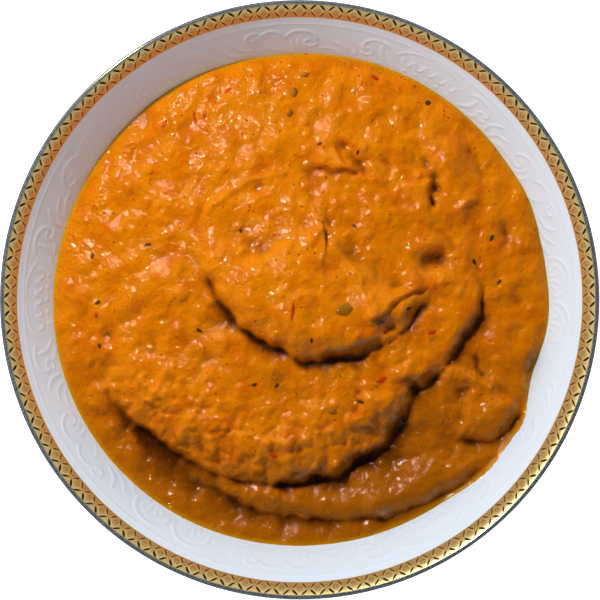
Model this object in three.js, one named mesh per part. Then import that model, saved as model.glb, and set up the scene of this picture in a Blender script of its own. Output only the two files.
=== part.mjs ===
// A bowl of lyutenitsa: a thick relish of roasted peppers and tomatoes, heaped with a spoon
// in a porcelain salad bowl. The last spoonful lies in the middle, a broad lip winds round
// it from the left to the right, and a low skirt follows the wall at the bottom right.
// Millimetres, +Z up. The origin is on the table, under the middle of the foot ring.
import * as THREE from "three";

// The bowl. Depths are measured down from the rim's top.
const BOWL_RADIUS = 80;
const BOWL_HEIGHT = 54;
const BOWL_SIDES = 64;
const EDGE_ROUNDING = 0.7;
const LIP_BEND = { radius: 77.5, depth: 1.6 };
const LIP_FOOT = { radius: 75.85, depth: 3.9 };
const WALL_LEAN = 0.62;
const WALL_THICKNESS = 3;
const FLOOR_DEPTH = 48.5;
const FLOOR_BEND = 36;
const FLOOR_BEND_STEPS = 5;
const FLOOR_THICKNESS = 3.1;
const FOOT_OUTER = 39.8;
const FOOT_INNER = 36.4;
const FOOT_ROUNDING = 0.6;

// The relish. Heights are measured from its edge on the wall.
const FOOD_EDGE_RADIUS = 68;
const FOOD_GAP = 0.35;
const FOOD_RINGS = 34;
const FOOD_SMOOTHING = 0.8;
const UNDERSIDE_SIDES = 72;
const EDGE_ROLL = 2;
const HEAP = { x: 3, y: 0, height: 8, reach: 71, fullness: 1.6, least: 0.4 };

// Places where the edge on the wall is pushed out or, where the reach is negative, drawn in.
// Directions and spreads in degrees.
const EDGE_BENDS = [
  { at: -29, reach: 1.5, spread: 5 },
  { at: -41, reach: 1.7, spread: 9 },
  { at: -17, reach: -0.9, spread: 6 },
  { at: -88, reach: -0.4, spread: 24 },
  { at: 152, reach: -0.8, spread: 34 },
  { at: 98, reach: -0.5, spread: 18 },
  { at: 24, reach: 0.5, spread: 7 },
  { at: -3, reach: 0.4, spread: 7 },
];

// Slow waves in the surface, and the wander that keeps every fold from being drawn too true.
const SWELLS = [
  { height: 0.3, length: 24, seed: 1 },
  { height: 0.26, length: 13, seed: 2 },
  { height: 0.24, length: 9, seed: 3 },
];
const WANDER = { reach: 0.5, length: 16, seedX: 5, seedY: 7 };
const RIPPLE_WAVES = 5;
const RIPPLE_SPREAD = 0.12;
const GOLDEN_ANGLE = 2.4;

// The long folds, each a cliff whose high side is on the inside. An arc turns about (x, y)
// from angle start to end, its radius runs from r0 to r1, sways out and leans to one end.
// A late rise and face are those of the fold's last part.
const LONG_FOLDS = [
  {
    name: "outer lip",
    arcs: [
      { x: 0, y: 0, r0: 62.5, r1: 40.4, sway: 1.2, lean: -1.6, start: -175, end: -38 },
      { x: 20.6, y: 4.7, r0: 32.3, r1: 26.4, sway: -0.2, lean: -1.4, start: -66, end: 16 },
    ],
    rise: 7.8, lateRise: 3.6, face: 13, lateFace: 3.4, round: 1.5,
    back: 16, fore: 14, share: 0.35, fadeIn: 0.3, fadeOut: 0.1,
  },
  {
    name: "dollop",
    arcs: [
      { x: 12.2, y: 24.6, r0: 42.5, r1: 42.5, sway: 0, lean: 0, start: -176, end: -99 },
      { x: 7.7, y: 14.5, r0: 31.6, r1: 31, sway: -0.6, lean: 0, start: -93, end: -22 },
    ],
    rise: 6.2, lateRise: 4.4, face: 8.5, lateFace: 4.5, round: 1.7,
    back: 24, fore: 8, share: 0.9, fadeIn: 0.32, fadeOut: 0.1,
  },
  {
    name: "skirt",
    arcs: [{ x: 0, y: 0, r0: 55.6, r1: 69.4, sway: -1.8, lean: 0, start: -137, end: -38 }],
    rise: 3.6, lateRise: 3.6, face: 4.4, lateFace: 4.4, round: 1.4,
    back: 8, fore: 8, share: 0.7, fadeIn: 0.35, fadeOut: 0.12,
  },
];

// The short folds, from one end to the other with the high side on the left.
const SHORT_FOLDS = [
  {
    name: "shelf rim", from: [21.1, -6.5], to: [36.1, 3.5], bow: 1.6,
    rise: 2, face: 1, back: 6, fore: 5, share: 0.4, fadeIn: 0.02, fadeOut: 0.25,
  },
  {
    name: "crest, upper end", from: [9.7, 18.4], to: [1.4, 31.7], bow: 1,
    rise: 1.1, face: 2.4, back: 6, fore: 5, share: 0.5, fadeIn: 0.15, fadeOut: 0.35,
  },
  {
    name: "crest", from: [21.6, -6.5], to: [8.6, 18.1], bow: -1.6,
    rise: 1.6, face: 2.6, back: 5, fore: 7, share: 0.6, fadeIn: 0.02, fadeOut: 0.15,
  },
  {
    name: "finger, lower side", from: [0, 37.2], to: [16.3, 34.7], bow: -0.5,
    rise: 1.9, face: 1.2, back: 3.6, fore: 5, share: 0.6, fadeIn: 0.35, fadeOut: 0.04,
  },
  {
    name: "finger, upper side", from: [19.5, 33.1], to: [8.2, 42.7], bow: 1,
    rise: 1.2, face: 1.2, back: 3, fore: 3, share: 0.4, fadeIn: 0.1, fadeOut: 0.3,
  },
  {
    name: "clump side", from: [36.9, 22.8], to: [35.7, 33.8], bow: 0.6,
    rise: 1.7, face: 0.8, back: 5, fore: 2.5, share: 0.6, fadeIn: 0.3, fadeOut: 0.05,
  },
  {
    name: "clump top", from: [35.9, 33.8], to: [27.7, 32.6], bow: 0.8,
    rise: 1.2, face: 0.8, back: 4, fore: 4, share: 0.6, fadeIn: 0.02, fadeOut: 0.3,
  },
  {
    name: "lower right lip", from: [41.3, -38.6], to: [61.6, -31.2], bow: -3.2,
    rise: 4, face: 6, back: 8, fore: 4, share: 0.6, fadeIn: 0.3, fadeOut: 0.02,
  },
  {
    name: "right flank", from: [59.7, -22.5], to: [66.9, -4.4], bow: -2,
    rise: 1.8, face: 2.6, back: 6, fore: 4, share: 0.5, fadeIn: 0.2, fadeOut: 0.35,
  },
];

// Ridges left by the spoon and, where the rise is negative, furrows.
const STROKES = [
  {
    name: "nose", from: [10, 15.5], to: [20.4, -5], bow: 1.4,
    rise: 0.9, width: 1.6, fadeIn: 0.3, fadeOut: 0.04,
  },
  {
    name: "nose's tip", from: [18.6, 4.6], to: [20.7, -5.2], bow: 0.3,
    rise: 1.9, width: 1.7, fadeIn: 0.4, fadeOut: 0.03,
  },
  {
    name: "dollop's upper edge", from: [-28.2, 16.1], to: [0, 34.3], bow: 6.8,
    rise: 0.6, width: 1, fadeIn: 0.3, fadeOut: 0.3,
  },
  {
    name: "dollop's upper furrow", from: [-29.9, 18], to: [-0.5, 36.9], bow: 7,
    rise: -0.5, width: 1.4, fadeIn: 0.3, fadeOut: 0.3,
  },
  {
    name: "finger", from: [-1.4, 40.2], to: [15.5, 35.5], bow: 1.2,
    rise: 0.8, width: 2.2, fadeIn: 0.3, fadeOut: 0.05,
  },
  {
    name: "upper finger", from: [9, 45.4], to: [19.6, 40.5], bow: 0.4,
    rise: 0.9, width: 1.6, fadeIn: 0.3, fadeOut: 0.2,
  },
  {
    name: "finger furrow", from: [9.5, 43.5], to: [21.7, 32.3], bow: 0.4,
    rise: -0.9, width: 1.2, fadeIn: 0.2, fadeOut: 0.2,
  },
  {
    name: "clump furrow", from: [33.8, 40.9], to: [40, 27.2], bow: -1,
    rise: -0.8, width: 1.5, fadeIn: 0.2, fadeOut: 0.25,
  },
  {
    name: "broad ridge", from: [38.3, 50.7], to: [46.3, 24.5], bow: -1.4,
    rise: 1.5, width: 3.4, fadeIn: 0.35, fadeOut: 0.1,
  },
  {
    name: "long furrow", from: [43.8, 43.8], to: [51.9, 30.1], bow: 0,
    rise: -0.8, width: 1.7, fadeIn: 0.3, fadeOut: 0.3,
  },
  {
    name: "side furrow", from: [53.8, 23.2], to: [56.5, 11.5], bow: 0.8,
    rise: -0.7, width: 1.7, fadeIn: 0.3, fadeOut: 0.3,
  },
  {
    name: "low ridge", from: [39.4, -19.6], to: [53.8, -26], bow: 0.9,
    rise: 1, width: 1.4, fadeIn: 0.3, fadeOut: 0.2,
  },
  {
    name: "left ridge", from: [-44.4, -20.4], to: [-38.6, -28], bow: 0.5,
    rise: 1, width: 1.2, fadeIn: 0.3, fadeOut: 0.2,
  },
];

// Lumps of pulp and, where the rise is negative, hollows.
const LUMPS = [
  { name: "hollow", x: 36.9, y: 11.7, rise: -1.5, width: 4.2, depth: 2.8, turn: 20 },
  { name: "side lobe's tip", x: 39.4, y: 3.8, rise: 2, width: 3.6, depth: 3, turn: 0 },
  { name: "nose's pocket", x: 24.4, y: -7.6, rise: -2, width: 3, depth: 2, turn: 35 },
  { name: "shelf's floor", x: 30.6, y: -3.2, rise: -1.3, width: 4.6, depth: 2, turn: 32 },
  { name: "broad ridge's end", x: 45.2, y: 26.2, rise: 0.9, width: 2.4, depth: 2.6, turn: 0 },
  { name: "clump", x: 31, y: 30.4, rise: 0.7, width: 3, depth: 2.6, turn: 0 },
  { name: "left pocket", x: -39.2, y: -30.5, rise: -1.1, width: 2.6, depth: 1.8, turn: 20 },
  { name: "low hollow", x: 45.2, y: -25.1, rise: -0.9, width: 3.4, depth: 1.2, turn: 0 },
  { name: "corner lump", x: 57.5, y: -28.8, rise: 0.9, width: 2.4, depth: 1.8, turn: 0 },
  { name: "skirt lump", x: 49.3, y: -41.6, rise: 0.8, width: 3, depth: 2.2, turn: 20 },
  { name: "notch lump", x: 32.6, y: -32.6, rise: 0.9, width: 2.2, depth: 1.8, turn: 20 },
  { name: "left lump", x: -51.9, y: -23.8, rise: 0.8, width: 1.8, depth: 1.6, turn: 0 },
  { name: "left lump", x: -45, y: -31.6, rise: 0.8, width: 1.8, depth: 1.6, turn: 0 },
  { name: "lip lump", x: -30.7, y: -35.4, rise: 0.9, width: 2.6, depth: 2, turn: 0 },
  { name: "lip lump", x: -23.7, y: -39.4, rise: 0.9, width: 2.2, depth: 2, turn: 0 },
  { name: "crown", x: 0, y: 0, rise: 0.6, width: 4.5, depth: 3, turn: 0 },
  { name: "shoulder", x: -19.5, y: 25.7, rise: 0.6, width: 3.6, depth: 3, turn: 0 },
  { name: "shoulder dent", x: -10.3, y: 30.3, rise: -0.6, width: 2.6, depth: 1.4, turn: 30 },
  { name: "left dent", x: -52.3, y: -9, rise: -0.7, width: 2, depth: 2.2, turn: 0 },
];

// How a fold falls from its brow, and how its reach shrinks towards its ends.
const SHORT_ROUNDNESS = 1.7;
const FACE_STEEPNESS = 0.78;
const BACK_ROUNDNESS = 1.5;
const FORE_ROUNDNESS = 1.3;
const LATE_START = 0.58;
const LATE_END = 0.82;
const REACH_FADE = 0.3;
const LEAST_REACH = 0.12;
const LEAST_FACE = 0.4;

const ARC_STEPS = 72;
const DAB_STEPS = 8;

const radians = THREE.MathUtils.degToRad;
const clamp = THREE.MathUtils.clamp;

// ---------------------------------------------------------------------------------- bowl

// The wall is a cone that bends into the level floor on an arc.
const WALL_SLOPE = Math.atan2(1, WALL_LEAN);
const BEND_DEPTH = FLOOR_DEPTH - FLOOR_BEND * (1 - Math.cos(WALL_SLOPE));
const BEND_RADIUS = LIP_FOOT.radius - (BEND_DEPTH - LIP_FOOT.depth) * WALL_LEAN;
const FLOOR_RADIUS = BEND_RADIUS - FLOOR_BEND * Math.sin(WALL_SLOPE);

// The inner wall's radius at a height.
function wallRadius(z) {
  const depth = BOWL_HEIGHT - z;
  if (depth <= BEND_DEPTH) {
    return LIP_FOOT.radius - (depth - LIP_FOOT.depth) * WALL_LEAN;
  }
  const drop = FLOOR_BEND - (FLOOR_DEPTH - depth);
  return FLOOR_RADIUS + Math.sqrt(FLOOR_BEND ** 2 - drop ** 2);
}

// The inner wall's height at a radius, on the cone.
function wallHeight(radius) {
  return BOWL_HEIGHT - LIP_FOOT.depth - (LIP_FOOT.radius - radius) / WALL_LEAN;
}

// The underside's height at a radius, where the foot ring joins the bend.
function undersideHeight(radius) {
  const bend = FLOOR_BEND + WALL_THICKNESS;
  const rise = bend - Math.sqrt(bend ** 2 - (radius - FLOOR_RADIUS) ** 2);
  return BOWL_HEIGHT - FLOOR_DEPTH - WALL_THICKNESS + rise;
}

// The bend between floor and wall, from the floor up, moved outwards by an offset.
function floorBend(offset, steps) {
  const points = [];
  for (let i = 0; i <= steps; i++) {
    const angle = (WALL_SLOPE * i) / steps;
    const radius = FLOOR_RADIUS + (FLOOR_BEND + offset) * Math.sin(angle);
    const depth = FLOOR_DEPTH - FLOOR_BEND + (FLOOR_BEND + offset) * Math.cos(angle);
    points.push(new THREE.Vector2(radius, BOWL_HEIGHT - depth));
  }
  return points;
}

function footProfile() {
  const underside = BOWL_HEIGHT - FLOOR_DEPTH - FLOOR_THICKNESS;
  return [
    new THREE.Vector2(0, underside),
    new THREE.Vector2(FOOT_INNER - FOOT_ROUNDING, underside),
    new THREE.Vector2(FOOT_INNER, FOOT_ROUNDING),
    new THREE.Vector2(FOOT_INNER + FOOT_ROUNDING, 0),
    new THREE.Vector2(FOOT_OUTER - FOOT_ROUNDING, 0),
    new THREE.Vector2(FOOT_OUTER, FOOT_ROUNDING),
    new THREE.Vector2(FOOT_OUTER, undersideHeight(FOOT_OUTER)),
  ];
}

// The rounded edge, from the outside over the top to the inside.
function edgeProfile() {
  const points = [];
  const centre = BOWL_RADIUS - EDGE_ROUNDING;
  for (let degrees = -45; degrees <= 135; degrees += 45) {
    const angle = radians(degrees);
    const radius = centre + EDGE_ROUNDING * Math.cos(angle);
    points.push(new THREE.Vector2(radius, BOWL_HEIGHT - EDGE_ROUNDING * (1 - Math.sin(angle))));
  }
  return points;
}

function bowlGeometry() {
  const outerBend = floorBend(WALL_THICKNESS, FLOOR_BEND_STEPS);
  const innerBend = floorBend(0, FLOOR_BEND_STEPS).reverse();
  const lipBack = new THREE.Vector2(
    LIP_FOOT.radius + WALL_THICKNESS * Math.sin(WALL_SLOPE),
    BOWL_HEIGHT - LIP_FOOT.depth - WALL_THICKNESS * Math.cos(WALL_SLOPE),
  );
  const profile = [
    ...footProfile(),
    ...outerBend.filter((point) => point.x > FOOT_OUTER + FOOT_ROUNDING),
    lipBack,
    ...edgeProfile(),
    new THREE.Vector2(LIP_BEND.radius, BOWL_HEIGHT - LIP_BEND.depth),
    new THREE.Vector2(LIP_FOOT.radius, BOWL_HEIGHT - LIP_FOOT.depth),
    ...innerBend,
    new THREE.Vector2(0, BOWL_HEIGHT - FLOOR_DEPTH),
  ];
  return new THREE.LatheGeometry(profile, BOWL_SIDES).rotateX(Math.PI / 2);
}

// -------------------------------------------------------------------------------- relish

// Even waves of about one wavelength that cross in several directions.
function ripple(x, y, length, seed) {
  let sum = 0;
  for (let k = 0; k < RIPPLE_WAVES; k++) {
    const heading = seed + k * GOLDEN_ANGLE;
    const along = x * Math.cos(heading) + y * Math.sin(heading);
    const pitch = length * (1 + RIPPLE_SPREAD * (k - 2));
    sum += Math.sin((2 * Math.PI * along) / pitch + seed * (k + 1));
  }
  return sum / Math.sqrt(RIPPLE_WAVES);
}

// The points of a spoon stroke that runs round the bowl.
function arcPoints({ x, y, r0, r1, sway, lean, start, end }) {
  const points = [];
  for (let i = 0; i <= ARC_STEPS; i++) {
    const t = i / ARC_STEPS;
    const bend = sway * Math.sin(Math.PI * t) + lean * Math.sin(2 * Math.PI * t);
    const radius = r0 + (r1 - r0) * t + bend;
    const angle = radians(start + (end - start) * t);
    points.push(new THREE.Vector2(x + radius * Math.cos(angle), y + radius * Math.sin(angle)));
  }
  return points;
}

// The points of a short stroke between two places, bowed to its left.
function dabPoints({ from, to, bow }) {
  const start = new THREE.Vector2(...from);
  const chord = new THREE.Vector2(...to).sub(start);
  const left = new THREE.Vector2(-chord.y, chord.x).normalize();
  const points = [];
  for (let i = 0; i <= DAB_STEPS; i++) {
    const t = i / DAB_STEPS;
    const point = start.clone().addScaledVector(chord, t);
    points.push(point.addScaledVector(left, bow * Math.sin(Math.PI * t)));
  }
  return points;
}

// Where a point lies beside a path: how far to its left, and how far along it from 0 to 1.
function beside(path, x, y) {
  let nearest = Infinity;
  let side = 0;
  let along = 0;
  let walked = 0;
  for (let i = 1; i < path.length; i++) {
    const dx = path[i].x - path[i - 1].x;
    const dy = path[i].y - path[i - 1].y;
    const length = Math.hypot(dx, dy);
    const ex = x - path[i - 1].x;
    const ey = y - path[i - 1].y;
    const t = clamp((ex * dx + ey * dy) / length ** 2, 0, 1);
    const distance = Math.hypot(ex - t * dx, ey - t * dy);
    if (distance < nearest) {
      nearest = distance;
      side = dx * ey - dy * ex < 0 ? -distance : distance;
      along = walked + t * length;
    }
    walked += length;
  }
  return { side, along: along / walked };
}

// 0 at both ends of a stroke and 1 between them.
function fade(along, fadeIn, fadeOut) {
  const { smoothstep } = THREE.MathUtils;
  return smoothstep(along, 0, fadeIn) * smoothstep(1 - along, 0, fadeOut);
}

// A cliff: a slope behind a rounded brow, a steep face, and a hollow in front of its foot.
function foldRise(fold, x, y) {
  const { side, along } = beside(fold.path, x, y);
  const strength = fade(along, fold.fadeIn, fold.fadeOut);
  const ends = fade(along, Math.max(fold.fadeIn, REACH_FADE), Math.max(fold.fadeOut, REACH_FADE));
  const reach = LEAST_REACH + (1 - LEAST_REACH) * ends;
  const late = THREE.MathUtils.smoothstep(along, LATE_START, LATE_END);
  const rise = THREE.MathUtils.lerp(fold.rise, fold.lateRise, late);
  const fullFace = THREE.MathUtils.lerp(fold.face, fold.lateFace, late);
  const face = fullFace * (LEAST_FACE + (1 - LEAST_FACE) * strength);
  const up = fold.share * rise;
  const down = (1 - fold.share) * rise;
  if (side < 0) {
    return -down * Math.exp(-((-side / (fold.fore * reach)) ** FORE_ROUNDNESS)) * strength;
  }
  if (side < face) {
    const climb = (1 - (1 - side / face) ** fold.round) ** FACE_STEEPNESS;
    return (-down + rise * climb) * strength;
  }
  return up * Math.exp(-(((side - face) / (fold.back * reach)) ** BACK_ROUNDNESS)) * strength;
}

function strokeRise(stroke, x, y) {
  const { side, along } = beside(stroke.path, x, y);
  return stroke.rise * Math.exp(-((side / stroke.width) ** 2))
    * fade(along, stroke.fadeIn, stroke.fadeOut);
}

function lumpRise(lump, x, y) {
  const turn = radians(lump.turn);
  const dx = x - lump.x;
  const dy = y - lump.y;
  const u = (dx * Math.cos(turn) + dy * Math.sin(turn)) / lump.width;
  const v = (-dx * Math.sin(turn) + dy * Math.cos(turn)) / lump.depth;
  return lump.rise * Math.exp(-(u * u + v * v));
}

// A short fold's rise and face stay the same to its end.
function shortFold(fold) {
  const path = dabPoints(fold);
  return { ...fold, path, round: SHORT_ROUNDNESS, lateRise: fold.rise, lateFace: fold.face };
}

const folds = [
  ...LONG_FOLDS.map((fold) => ({ ...fold, path: fold.arcs.flatMap(arcPoints) })),
  ...SHORT_FOLDS.map(shortFold),
];
const strokes = STROKES.map((stroke) => ({ ...stroke, path: dabPoints(stroke) }));

// The radius of the relish's edge on the wall, in a direction in radians.
function edgeRadius(direction) {
  let radius = FOOD_EDGE_RADIUS;
  for (const bend of EDGE_BENDS) {
    const away = THREE.MathUtils.euclideanModulo(
      THREE.MathUtils.radToDeg(direction) - bend.at + 180,
      360,
    ) - 180;
    radius += bend.reach * Math.exp(-((away / bend.spread) ** 2));
  }
  return radius;
}

// The relish's height over the table.
function reliefHeight(x, y) {
  const wx = x + WANDER.reach * ripple(x, y, WANDER.length, WANDER.seedX);
  const wy = y + WANDER.reach * ripple(x, y, WANDER.length, WANDER.seedY);
  const outward = clamp(Math.hypot(wx - HEAP.x, wy - HEAP.y) / HEAP.reach, 0, 1);
  let rise = HEAP.height * (1 - outward ** HEAP.fullness) + HEAP.least;
  for (const fold of folds) {
    rise += foldRise(fold, wx, wy);
  }
  for (const stroke of strokes) {
    rise += strokeRise(stroke, wx, wy);
  }
  for (const lump of LUMPS) {
    rise += lumpRise(lump, wx, wy);
  }
  for (const swell of SWELLS) {
    rise += swell.height * ripple(x, y, swell.length, swell.seed);
  }
  const edge = edgeRadius(Math.atan2(y, x));
  const inside = 1 - Math.exp(-Math.max(edge - Math.hypot(x, y), 0) / EDGE_ROLL);
  return THREE.MathUtils.lerp(wallHeight(edge), wallHeight(FOOD_EDGE_RADIUS) + rise, inside);
}

// The mean height close round a place, which keeps the cliffs' lines even on the mesh.
function smoothedHeight(x, y) {
  let sum = reliefHeight(x, y);
  for (let i = 0; i < 6; i++) {
    const direction = (Math.PI * i) / 3;
    const dx = FOOD_SMOOTHING * Math.cos(direction);
    const dy = FOOD_SMOOTHING * Math.sin(direction);
    sum += reliefHeight(x + dx, y + dy);
  }
  return sum / 7;
}

// One ring of the top, a share of the way from the middle to the wall. No part of it comes
// closer to the wall than the gap.
function topRing(ring) {
  const points = [];
  const sides = 6 * ring;
  const wallGap = FOOD_GAP / Math.sin(WALL_SLOPE);
  for (let i = 0; i < sides; i++) {
    const direction = (2 * Math.PI * i) / sides;
    const radius = ((edgeRadius(direction) - wallGap) * ring) / FOOD_RINGS;
    const x = radius * Math.cos(direction);
    const y = radius * Math.sin(direction);
    const height = Math.max(smoothedHeight(x, y), wallHeight(radius + wallGap));
    points.push(new THREE.Vector3(x, y, height));
  }
  return points;
}

// The level rings of the underside, which follow the bowl inside the gap.
function undersideRings() {
  const rings = [];
  for (const corner of floorBend(-FOOD_GAP, FLOOR_BEND_STEPS).reverse()) {
    const points = [];
    for (let i = 0; i < UNDERSIDE_SIDES; i++) {
      const direction = (2 * Math.PI * i) / UNDERSIDE_SIDES;
      const x = corner.x * Math.cos(direction);
      const y = corner.x * Math.sin(direction);
      points.push(new THREE.Vector3(x, y, corner.y));
    }
    rings.push(points);
  }
  return rings;
}

// Triangles between two rings of any two counts, both counted anticlockwise from +X.
// The faces look up where the first ring is the inner one of a level pair.
function stitch(positions, first, second) {
  let i = 0;
  let j = 0;
  while (i < first.length || j < second.length) {
    const a = first[i % first.length];
    const b = second[j % second.length];
    const nextFirst = (i + 1) / first.length;
    const nextSecond = (j + 1) / second.length;
    if (j >= second.length || (i < first.length && nextFirst < nextSecond)) {
      i++;
      positions.push(...a.toArray(), ...b.toArray(), ...first[i % first.length].toArray());
    } else {
      j++;
      positions.push(...a.toArray(), ...b.toArray(), ...second[j % second.length].toArray());
    }
  }
}

function relishGeometry() {
  const floorHeight = BOWL_HEIGHT - FLOOR_DEPTH + FOOD_GAP;
  const rings = [[new THREE.Vector3(0, 0, reliefHeight(0, 0))]];
  for (let ring = 1; ring <= FOOD_RINGS; ring++) {
    rings.push(topRing(ring));
  }
  rings.push(...undersideRings(), [new THREE.Vector3(0, 0, floorHeight)]);
  const positions = [];
  for (let ring = 1; ring < rings.length; ring++) {
    stitch(positions, rings[ring - 1], rings[ring]);
  }
  const geometry = new THREE.BufferGeometry();
  geometry.setAttribute("position", new THREE.Float32BufferAttribute(positions, 3));
  geometry.computeVertexNormals();
  return geometry;
}

// ------------------------------------------------------------------------------- assembly

function piece(name, geometry, color, roughness) {
  const material = new THREE.MeshStandardMaterial({ color, roughness, metalness: 0 });
  const mesh = new THREE.Mesh(geometry, material);
  mesh.name = name;
  return mesh;
}

const model = new THREE.Group();
model.add(piece("bowl", bowlGeometry(), 0xe2e5ea, 0.15));
model.add(piece("lyutenitsa", relishGeometry(), 0xd9780c, 0.35));

export default model;
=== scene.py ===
"""A bowl of lyutenitsa: the dressed model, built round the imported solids.

The porcelain bowl gets its low relief and its gilt band, and the relish its folds, grain
and scattered bits of herb, skin and green pepper. Lengths in the tables are millimetres,
+Z up, with the origin on the table under the middle of the foot ring.
"""

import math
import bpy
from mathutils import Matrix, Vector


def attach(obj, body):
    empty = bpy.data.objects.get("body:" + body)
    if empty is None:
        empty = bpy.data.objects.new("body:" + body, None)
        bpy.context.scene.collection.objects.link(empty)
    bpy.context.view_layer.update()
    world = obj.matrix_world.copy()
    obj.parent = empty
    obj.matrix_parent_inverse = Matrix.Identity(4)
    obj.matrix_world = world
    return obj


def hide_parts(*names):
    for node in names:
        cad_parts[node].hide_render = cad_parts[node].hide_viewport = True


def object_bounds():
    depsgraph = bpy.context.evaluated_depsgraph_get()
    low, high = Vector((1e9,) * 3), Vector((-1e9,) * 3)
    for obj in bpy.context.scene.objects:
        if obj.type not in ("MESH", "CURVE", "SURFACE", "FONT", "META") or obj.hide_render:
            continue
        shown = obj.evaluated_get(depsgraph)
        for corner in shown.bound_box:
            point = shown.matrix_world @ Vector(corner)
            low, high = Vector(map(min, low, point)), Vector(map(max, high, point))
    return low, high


bl_info = {
    "name": "Bowl of lyutenitsa",
    "version": (1, 0, 0),
    "blender": (4, 5, 0),
    "location": "3D View > Sidebar > Lyutenitsa",
    "description": "Dresses the solids of a gilt porcelain bowl heaped with pepper relish",
    "category": "Add Mesh",
}

import bpy
import numpy as np
from mathutils import Vector

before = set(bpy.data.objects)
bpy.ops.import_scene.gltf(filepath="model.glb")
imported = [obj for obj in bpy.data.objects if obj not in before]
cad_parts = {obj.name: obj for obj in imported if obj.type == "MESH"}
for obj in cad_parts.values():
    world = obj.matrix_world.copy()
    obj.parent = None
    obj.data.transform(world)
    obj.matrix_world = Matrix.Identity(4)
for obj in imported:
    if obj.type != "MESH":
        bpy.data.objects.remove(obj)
CAD_LOW, CAD_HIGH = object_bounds()

MM = 0.001

# ------------------------------------------------------------------ the bowl's sizes, mm
# Depths are measured down from the rim's top.

BOWL_RADIUS = round(CAD_HIGH.x / MM, 3)
BOWL_HEIGHT = round(CAD_HIGH.z / MM, 3)
EDGE_ROUNDING = 0.7
LIP_BEND = {"radius": 77.5, "depth": 1.6}
LIP_FOOT = {"radius": 75.85, "depth": 3.9}
WALL_LEAN = 0.62
WALL_THICKNESS = 3.0
FLOOR_DEPTH = 48.5
FLOOR_BEND = 36.0
FLOOR_THICKNESS = 3.1
FOOT_OUTER = 39.8
FOOT_INNER = 36.4
FOOT_ROUNDING = 0.6

WALL_SLOPE = math.atan2(1, WALL_LEAN)
BEND_DEPTH = FLOOR_DEPTH - FLOOR_BEND * (1 - math.cos(WALL_SLOPE))
BEND_RADIUS = LIP_FOOT["radius"] - (BEND_DEPTH - LIP_FOOT["depth"]) * WALL_LEAN
FLOOR_RADIUS = BEND_RADIUS - FLOOR_BEND * math.sin(WALL_SLOPE)

# The relief lies between a smooth strip under the band and a little below the relish's edge.
RELIEF_TOP = 6.3
RELIEF_BOTTOM = 18.5
RELIEF_STEP = 0.26
RELIEF_SIDES = 1440
WALL_SIDES = 480
OUTER_SIDES = 240
RELIEF_REPEATS = 3
RELIEF_MIDDLE = 12  # the depth at which lengths along the wall are true
RELIEF_BEAD = {"height": 0.07, "breadth": 0.35}
STROKE_FADE = 0.12

# Carved strokes of half a repeat, in mm along the wall from the palmette's middle and down
# the slope from the relief's top. An arc turns about (s, t), its radii running from one pair
# to another, from angle start to end; 0 degrees points along the wall and 90 down the slope.
RELIEF_ARCS = (
    # name, s, t, along at start and end, down at start and end, start, end, width, height
    ("tongue", 0.0, 5.2, 1.35, 1.35, 2.6, 2.6, 200, -20, 0.42, 0.22),
    ("tongue", 3.4, 5.4, 1.35, 1.35, 2.5, 2.5, 200, -20, 0.42, 0.22),
    ("tongue", 6.8, 5.9, 1.3, 1.3, 2.3, 2.3, 200, -20, 0.42, 0.20),
    ("palmette's hood", 0.0, 7.0, 10.6, 10.6, 6.2, 6.2, -90, -14, 0.5, 0.16),
    ("first scroll", 16.5, 6.5, 5.2, 2.4, 5.0, 2.4, -150, 40, 0.55, 0.24),
    ("first volute", 18.2, 7.4, 2.2, 0.8, 2.2, 0.8, 20, 330, 0.45, 0.22),
    ("second scroll", 37.0, 7.2, 4.7, 4.0, 4.9, 4.0, -185, -5, 0.5, 0.24),
    ("second volute", 34.4, 7.6, 2.1, 0.8, 2.2, 0.8, 170, -120, 0.45, 0.22),
    ("third scroll", 45.2, 6.4, 4.2, 3.4, 4.3, 3.2, -180, -20, 0.5, 0.24),
    ("third volute", 49.9, 4.6, 2.1, 0.7, 2.2, 0.7, -160, 250, 0.45, 0.24),
    ("arch", 68.0, 8.6, 5.3, 5.3, 6.0, 6.0, -200, 20, 0.55, 0.26),
    ("inner arch", 68.0, 9.2, 3.2, 3.2, 3.9, 3.9, -190, 10, 0.4, 0.14),
    ("arch's curl", 74.6, 9.0, 1.6, 0.6, 1.8, 0.6, 180, 480, 0.4, 0.2),
)
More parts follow.
